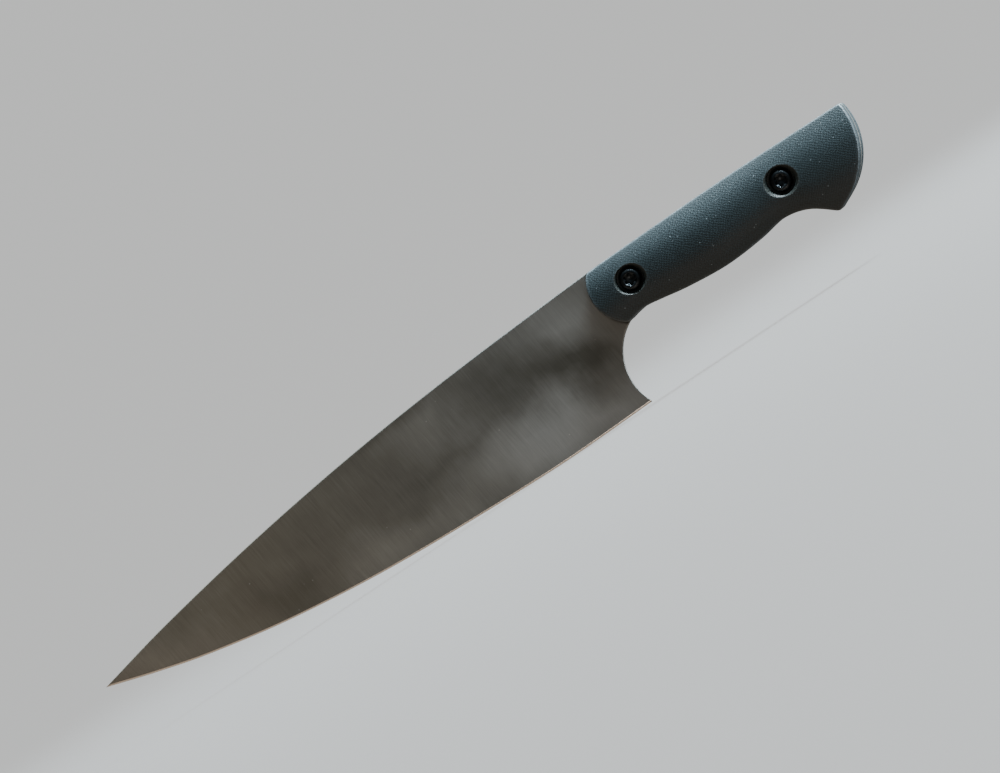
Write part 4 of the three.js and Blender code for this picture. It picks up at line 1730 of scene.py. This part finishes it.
    worn_rim = nodes.new("ShaderNodeAttribute")
    worn_rim.label = "near a rim"
    worn_rim.parent = wear
    worn_rim.attribute_name = "worn_rim"
    worn_lip = nodes.new("ShaderNodeAttribute")
    worn_lip.label = "near a counterbore's lip"
    worn_lip.parent = wear
    worn_lip.attribute_name = "worn_lip"
    in_counterbore = nodes.new("ShaderNodeAttribute")
    in_counterbore.label = "in a counterbore"
    in_counterbore.parent = wear
    in_counterbore.attribute_name = "counterbore"
    rubbed = nodes.new("ShaderNodeMath")
    rubbed.operation = "MAXIMUM"
    rubbed.label = "rim or lip"
    rubbed.parent = wear
    links.new(worn_rim.outputs["Fac"], rubbed.inputs[0])
    links.new(worn_lip.outputs["Fac"], rubbed.inputs[1])
    patchy = nodes.new("ShaderNodeTexNoise")
    patchy.label = "wear is patchy"
    patchy.parent = wear
    patchy.inputs["Scale"].default_value = 420
    patchy.inputs["Detail"].default_value = 3
    links.new(coordinates.outputs["Object"], patchy.inputs["Vector"])
    patchy_rub = nodes.new("ShaderNodeMath")
    patchy_rub.operation = "MULTIPLY"
    patchy_rub.label = "patchy wear"
    patchy_rub.parent = wear
    links.new(rubbed.outputs[0], patchy_rub.inputs[0])
    links.new(patchy.outputs["Fac"], patchy_rub.inputs[1])
    worn_tone = nodes.new("ShaderNodeMix")
    worn_tone.label = "rubbed pale"
    worn_tone.parent = wear
    worn_tone.data_type = "RGBA"
    worn_tone.inputs[7].default_value = (*fleck, 1)
    links.new(patchy_rub.outputs[0], worn_tone.inputs["Factor"])
    links.new(fleck_tone.outputs[2], worn_tone.inputs[6])
    # Painted shade and a painted warm reflection: the cloth inside the counterbores is made darker and
    # browner.
    counterbore_shade_and_warmth = nodes.new("ShaderNodeMix")
    counterbore_shade_and_warmth.label = "painted shade and warm reflection in the counterbores"
    counterbore_shade_and_warmth.parent = wear
    counterbore_shade_and_warmth.data_type = "RGBA"
    counterbore_shade_and_warmth.blend_type = "MULTIPLY"
    counterbore_shade_and_warmth.inputs[7].default_value = (0.95, 0.78, 0.64, 1)
    links.new(in_counterbore.outputs["Fac"], counterbore_shade_and_warmth.inputs["Factor"])
    links.new(worn_tone.outputs[2], counterbore_shade_and_warmth.inputs[6])

    cloth_roughness = nodes.new("ShaderNodeMapRange")
    cloth_roughness.label = "resin is smoother than thread"
    cloth_roughness.parent = output
    cloth_roughness.inputs["To Min"].default_value = 0.4
    cloth_roughness.inputs["To Max"].default_value = 0.56
    links.new(cloth_height.outputs[0], cloth_roughness.inputs["Value"])
    bump = nodes.new("ShaderNodeBump")
    bump.label = "relief of the weave"
    bump.parent = output
    bump.inputs["Strength"].default_value = 0.65
    bump.inputs["Distance"].default_value = 0.00009
    links.new(cloth_height.outputs[0], bump.inputs["Height"])
    shader = nodes.new("ShaderNodeBsdfPrincipled")
    shader.label = "laminate"
    shader.parent = output
    shader.inputs["Specular IOR Level"].default_value = 0.5
    links.new(counterbore_shade_and_warmth.outputs[2], shader.inputs["Base Color"])
    links.new(cloth_roughness.outputs[0], shader.inputs["Roughness"])
    links.new(bump.outputs["Normal"], shader.inputs["Normal"])
    surface = nodes.new("ShaderNodeOutputMaterial")
    surface.label = "surface"
    surface.parent = output
    links.new(shader.outputs["BSDF"], surface.inputs["Surface"])
    lay_out(tree)
    print(name, "has", len(nodes), "nodes")
    return material


laminate = cloth_laminate("cloth_laminate", resin=(0.0055, 0.01, 0.0105), thread=(0.034, 0.053, 0.06),
                          fleck=(0.2, 0.23, 0.25))
for scale in (scale_left, scale_right):
    scale.data.materials.append(laminate)

# %% [markdown]
# ## Turned steel, black and bright
# The screws are blackened by a hot salt bath, and the sleeves are left bright from the lathe.
# Under the colour both are the same: fine rings from the tool, a thin film of oil in patches,
# and rubbed patches where the metal is a little more bare. One function makes both finishes.


# %% Turned steel
def turned_steel(name, tone, bare, roughness, film):
    """Lathe-turned steel: its tone, its bare tone, its roughness and how far the film varies it."""
    material = new_material(name)
    tree = material.node_tree
    nodes, links = tree.nodes, tree.links
    rings = nodes.new("NodeFrame")
    rings.label = "Rings of the lathe tool"
    coat = nodes.new("NodeFrame")
    coat.label = "Film and bare patches"
    output = nodes.new("NodeFrame")
    output.label = "Surface"

    coordinates = nodes.new("ShaderNodeTexCoord")
    coordinates.label = "place on the knife"
    coordinates.parent = rings
    from_axis = nodes.new("ShaderNodeAttribute")
    from_axis.label = "distance from the axis"
    from_axis.parent = rings
    from_axis.attribute_name = "from_axis"
    up_axis = nodes.new("ShaderNodeAttribute")
    up_axis.label = "height up the axis"
    up_axis.parent = rings
    up_axis.attribute_name = "up_axis"
    travel = nodes.new("ShaderNodeMath")
    travel.operation = "ADD"
    travel.label = "travel of the tool"
    travel.parent = rings
    links.new(from_axis.outputs["Fac"], travel.inputs[0])
    links.new(up_axis.outputs["Fac"], travel.inputs[1])
    ring_noise = nodes.new("ShaderNodeTexNoise")
    ring_noise.label = "rings"
    ring_noise.parent = rings
    ring_noise.noise_dimensions = "1D"
    ring_noise.inputs["Scale"].default_value = 14000
    ring_noise.inputs["Detail"].default_value = 2
    links.new(travel.outputs[0], ring_noise.inputs["W"])

    patches = nodes.new("ShaderNodeTexNoise")
    patches.label = "oil and handling"
    patches.parent = coat
    patches.inputs["Scale"].default_value = 700
    patches.inputs["Detail"].default_value = 4
    links.new(coordinates.outputs["Object"], patches.inputs["Vector"])
    bare_share = nodes.new("ShaderNodeMapRange")
    bare_share.label = "bare where rubbed"
    bare_share.parent = coat
    bare_share.inputs["From Min"].default_value = 0.55
    bare_share.inputs["From Max"].default_value = 0.75
    bare_share.inputs["To Max"].default_value = 0.6
    links.new(patches.outputs["Fac"], bare_share.inputs["Value"])
    metal_tone = nodes.new("ShaderNodeMix")
    metal_tone.label = "coated or bare"
    metal_tone.parent = coat
    metal_tone.data_type = "RGBA"
    metal_tone.inputs[6].default_value = (*tone, 1)
    metal_tone.inputs[7].default_value = (*bare, 1)
    links.new(bare_share.outputs[0], metal_tone.inputs["Factor"])

    film_roughness = nodes.new("ShaderNodeMapRange")
    film_roughness.label = "film varies the gloss"
    film_roughness.parent = output
    film_roughness.inputs["From Min"].default_value = 0.3
    film_roughness.inputs["From Max"].default_value = 0.7
    film_roughness.inputs["To Min"].default_value = roughness - film
    film_roughness.inputs["To Max"].default_value = roughness + film
    links.new(patches.outputs["Fac"], film_roughness.inputs["Value"])
    bump = nodes.new("ShaderNodeBump")
    bump.label = "depth of the rings"
    bump.parent = output
    bump.inputs["Strength"].default_value = 0.25
    bump.inputs["Distance"].default_value = 0.00002
    links.new(ring_noise.outputs["Fac"], bump.inputs["Height"])
    shader = nodes.new("ShaderNodeBsdfPrincipled")
    shader.label = "turned steel"
    shader.parent = output
    shader.inputs["Metallic"].default_value = 1
    links.new(metal_tone.outputs[2], shader.inputs["Base Color"])
    links.new(film_roughness.outputs[0], shader.inputs["Roughness"])
    links.new(bump.outputs["Normal"], shader.inputs["Normal"])
    surface = nodes.new("ShaderNodeOutputMaterial")
    surface.label = "surface"
    surface.parent = output
    links.new(shader.outputs["BSDF"], surface.inputs["Surface"])
    lay_out(tree)
    print(name, "has", len(nodes), "nodes")
    return material


black_steel = turned_steel("blackened_steel", tone=(0.035, 0.04, 0.044), bare=(0.1, 0.105, 0.11),
                           roughness=0.34, film=0.08)
bright_steel = turned_steel("bright_turned_steel", tone=(0.5, 0.49, 0.46), bare=(0.6, 0.59, 0.57),
                            roughness=0.28, film=0.06)

# %% Turn the screws and the sleeves
STEPS_ROUND = 96
LOBE_SHARE = 0.163  # how deep the lobes are, as a share of the recess's radius
SHARP_CORNER = math.radians(50)


def turn_parts(piece, lobe_share, copies_in_a_hole, seat, seed, material):
    """Gives the piece its turning tree, sets the tree's inputs and keeps the result as a plain mesh."""
    turner = piece.modifiers.new("turning", "NODES")
    turner.node_group = turning
    wanted = {"Steps Round": STEPS_ROUND, "Lobe Share": lobe_share, "Thread Pitch": PITCH * MM,
              "Thread Depth": THREAD_DEPTH * MM, "Copies In A Hole": copies_in_a_hole,
              "Seat From Middle": seat * MM, "Front Hole": in_row(FRONT_HOLE), "Rear Hole": in_row(REAR_HOLE),
              "Seed": seed, "Material": material}
    for item in turning.interface.items_tree:
        if item.in_out == "INPUT" and item.name in wanted:
            turner[item.identifier] = wanted[item.name]
    ready = piece.evaluated_get(bpy.context.evaluated_depsgraph_get())
    mesh = bpy.data.meshes.new_from_object(ready)
    name = piece.name
    bpy.data.objects.remove(piece)
    result = tidy_mesh(name, mesh)
    result.data.set_sharp_from_angle(angle=SHARP_CORNER)
    return result


screws = turn_parts(screws, LOBE_SHARE, copies_in_a_hole=2, seat=SEAT, seed=4, material=black_steel)
sleeves = turn_parts(sleeves, 0, copies_in_a_hole=1, seat=0, seed=1, material=bright_steel)
for piece in (screws, sleeves):
    span = places_of(piece)
    print(piece.name, "spans, mm:", span.min(0).round(2), span.max(0).round(2))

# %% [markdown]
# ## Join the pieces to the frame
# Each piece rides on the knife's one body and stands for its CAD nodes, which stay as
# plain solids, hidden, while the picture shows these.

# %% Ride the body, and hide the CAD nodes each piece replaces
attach(blade, "root")
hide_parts("blade_with_tang")
for scale, node in ((scale_left, "scale_left"), (scale_right, "scale_right")):
    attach(scale, "root")
    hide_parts(node)
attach(screws, "root")
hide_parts("screw_front_left", "screw_front_right", "screw_rear_left", "screw_rear_right")
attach(sleeves, "root")
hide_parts("sleeve_front", "sleeve_rear")
print("pieces:", [piece.name for piece in (blade, scale_left, scale_right, screws, sleeves)])

# %% [markdown]
# ## The studio
# The floor is a wide pale bowl, flat under the knife and rising far away, so that no horizon
# cuts the picture from any side. A backdrop card would do for one camera only. The light is a
# large cool window above the spine, a second behind it, a smaller one past the butt, and a weak
# warm lamp low in front, which the cutting bevel mirrors. The air between is cool above and
# warm below, so the belly of the handle is in soft, brownish shade. Small bare lamps would
# be simpler, but steel shows each one as a hot spot.

# %% The floor
FLOOR_FLAT = 3.0  # radius of the flat part, in metres
FLOOR_RISE = 3.0  # radius of its upturn
FLOOR_TOP = 7.0


def floor_bowl():
    turn = np.linspace(0, math.pi / 2, 24)
    profile = [(0.0, 0.0), (0.25, 0.0), (0.8, 0.0), (1.6, 0.0)]
    profile += [(FLOOR_FLAT + FLOOR_RISE * math.sin(a), FLOOR_RISE * (1 - math.cos(a))) for a in turn]
    profile.append((FLOOR_FLAT + FLOOR_RISE, FLOOR_TOP))
    steps = 96
    shell = bmesh.new()
    rows = []
    for radius, height in profile[1:]:
        angles = np.linspace(0, 2 * math.pi, steps, endpoint=False)
        rows.append([shell.verts.new((radius * math.cos(a), radius * math.sin(a), height)) for a in angles])
    shell.faces.new(rows[0])
    for low_row, high_row in zip(rows, rows[1:]):
        for k in range(steps):
            j = (k + 1) % steps
            shell.faces.new((low_row[k], low_row[j], high_row[j], high_row[k]))
    bmesh.ops.recalc_face_normals(shell, faces=shell.faces)
    if rows[0][0].link_faces[0].normal.z < 0:
        bmesh.ops.reverse_faces(shell, faces=shell.faces)
    mesh = bpy.data.meshes.new("studio_floor")
    shell.to_mesh(mesh)
    shell.free()
    mesh.shade_smooth()
    bowl = bpy.data.objects.new("studio_floor", mesh)
    bpy.context.scene.collection.objects.link(bowl)
    return bowl


def plain_paint(name, tone, glow):
    material = new_material(name)
    nodes, links = material.node_tree.nodes, material.node_tree.links
    paint = nodes.new("NodeFrame")
    paint.label = "Matt paint"
    shader = nodes.new("ShaderNodeBsdfPrincipled")
    shader.label = "matt paint"
    shader.parent = paint
    shader.inputs["Base Color"].default_value = (*tone, 1)
    shader.inputs["Roughness"].default_value = 0.9
    shader.inputs["Specular IOR Level"].default_value = 0.1
    shader.inputs["Emission Color"].default_value = (*glow, 1)
    shader.inputs["Emission Strength"].default_value = 1
    surface = nodes.new("ShaderNodeOutputMaterial")
    surface.label = "surface"
    surface.parent = paint
    links.new(shader.outputs["BSDF"], surface.inputs["Surface"])
    lay_out(material.node_tree)
    return material


floor = floor_bowl()
floor.data.materials.append(plain_paint("pale_floor", tone=(0.05, 0.05, 0.05), glow=(0.63, 0.63, 0.62)))
# The floor is seen and takes shadows, but neither lights the knife nor shades it from below.
floor.visible_diffuse = floor.visible_glossy = floor.visible_shadow = False
print("floor faces:", len(floor.data.polygons))

# %% The camera
# The picture is level with the knife, with the knife's length running up to the right.
LENS = 200
CAMERA_AZIMUTH = math.radians(10)
CAMERA_ROLL = math.radians(-33.69)
CAMERA_DISTANCE = 1.7897
AIM = (-43.27, -13.88)  # the point of the blade at the middle of the picture

aim = in_row(AIM)
back = Vector((math.sin(CAMERA_AZIMUTH), -math.cos(CAMERA_AZIMUTH), 0))
camera_data = bpy.data.cameras.new("camera")
camera_data.lens = LENS
camera_data.sensor_width = 36
camera_data.clip_end = 50
camera = bpy.data.objects.new("camera", camera_data)
camera.location = aim + back * CAMERA_DISTANCE
facing = (-back).to_track_quat("-Z", "Y")
camera.rotation_mode = "QUATERNION"
camera.rotation_quaternion = facing @ Quaternion((0, 0, 1), CAMERA_ROLL)
bpy.context.scene.collection.objects.link(camera)
bpy.context.scene.camera = camera
print("camera, m:", [round(v, 3) for v in camera.location])

# %% The lights
picture_up = camera.rotation_quaternion @ Vector((0, 1, 0))
picture_right = camera.rotation_quaternion @ Vector((1, 0, 0))
knife_middle = (cad_low + cad_high) / 2


def soft_light(name, direction, distance, size, power, tone):
    """A square area light that faces the knife from a direction."""
    lamp = bpy.data.lights.new(name, "AREA")
    lamp.shape = "RECTANGLE"
    lamp.size, lamp.size_y = size
    lamp.energy = power
    lamp.color = tone
    light = bpy.data.objects.new(name, lamp)
    light.location = knife_middle + direction.normalized() * distance
    light.rotation_mode = "QUATERNION"
    light.rotation_quaternion = direction.normalized().to_track_quat("Z", "Y")
    light.visible_camera = False
    bpy.context.scene.collection.objects.link(light)
    return light


window = soft_light("window_light", picture_up + 0.05 * picture_right + 0.03 * back, 1.5, (1.1, 0.5), 180,
                    (0.78, 0.92, 1.0))
far_window = soft_light("far_window", picture_up - 0.55 * back, 1.5, (1.1, 0.7), 7, (0.8, 0.92, 1.0))
side_window = soft_light("side_window", picture_right + 0.35 * picture_up, 1.2, (0.6, 0.6), 12,
                         (0.85, 0.94, 1.0))
low_lamp = soft_light("low_lamp", Vector((0.02, -0.84, -0.54)), 1.5, (0.45, 0.3), 1.6, (1.0, 0.89, 0.8))

# %% The air of the studio: pale above the spine, dim level with the knife, warm below
AIR = [(0.0, (0.52, 0.42, 0.33)), (0.28, (0.092, 0.08, 0.066)), (0.5, (0.052, 0.055, 0.053)),
       (0.72, (0.17, 0.21, 0.235)), (1.0, (1.3, 1.6, 1.75))]
world = bpy.data.worlds.new("studio_air")
world.use_nodes = True
air_nodes, air_links = world.node_tree.nodes, world.node_tree.links
air_nodes.clear()
air = air_nodes.new("NodeFrame")
air.label = "Soft light from above the spine"
looking = air_nodes.new("ShaderNodeTexCoord")
looking.label = "direction"
looking.parent = air
towards = air_nodes.new("ShaderNodeVectorMath")
towards.operation = "DOT_PRODUCT"
towards.inputs[1].default_value = picture_up
towards.label = "how far towards the spine's side"
towards.parent = air
share_up = air_nodes.new("ShaderNodeMapRange")
share_up.inputs["From Min"].default_value = -1
share_up.label = "0 below, 1 above"
share_up.parent = air
shades = air_nodes.new("ShaderNodeValToRGB")
shades.label = "shades of the air"
shades.parent = air
while len(shades.color_ramp.elements) < len(AIR):
    shades.color_ramp.elements.new(0.5)
for element, (place_on_ramp, shade) in zip(shades.color_ramp.elements, AIR):
    element.position = place_on_ramp
    element.color = (*shade, 1)
background = air_nodes.new("ShaderNodeBackground")
background.label = "air"
background.parent = air
world_output = air_nodes.new("ShaderNodeOutputWorld")
world_output.label = "world"
world_output.parent = air
air_links.new(looking.outputs["Generated"], towards.inputs[0])
air_links.new(towards.outputs["Value"], share_up.inputs["Value"])
air_links.new(share_up.outputs[0], shades.inputs["Fac"])
air_links.new(shades.outputs["Color"], background.inputs["Color"])
air_links.new(background.outputs["Background"], world_output.inputs["Surface"])
lay_out(world.node_tree)
bpy.context.scene.world = world
print("lights:", window.name, far_window.name, side_window.name, low_lamp.name, "and", world.name)
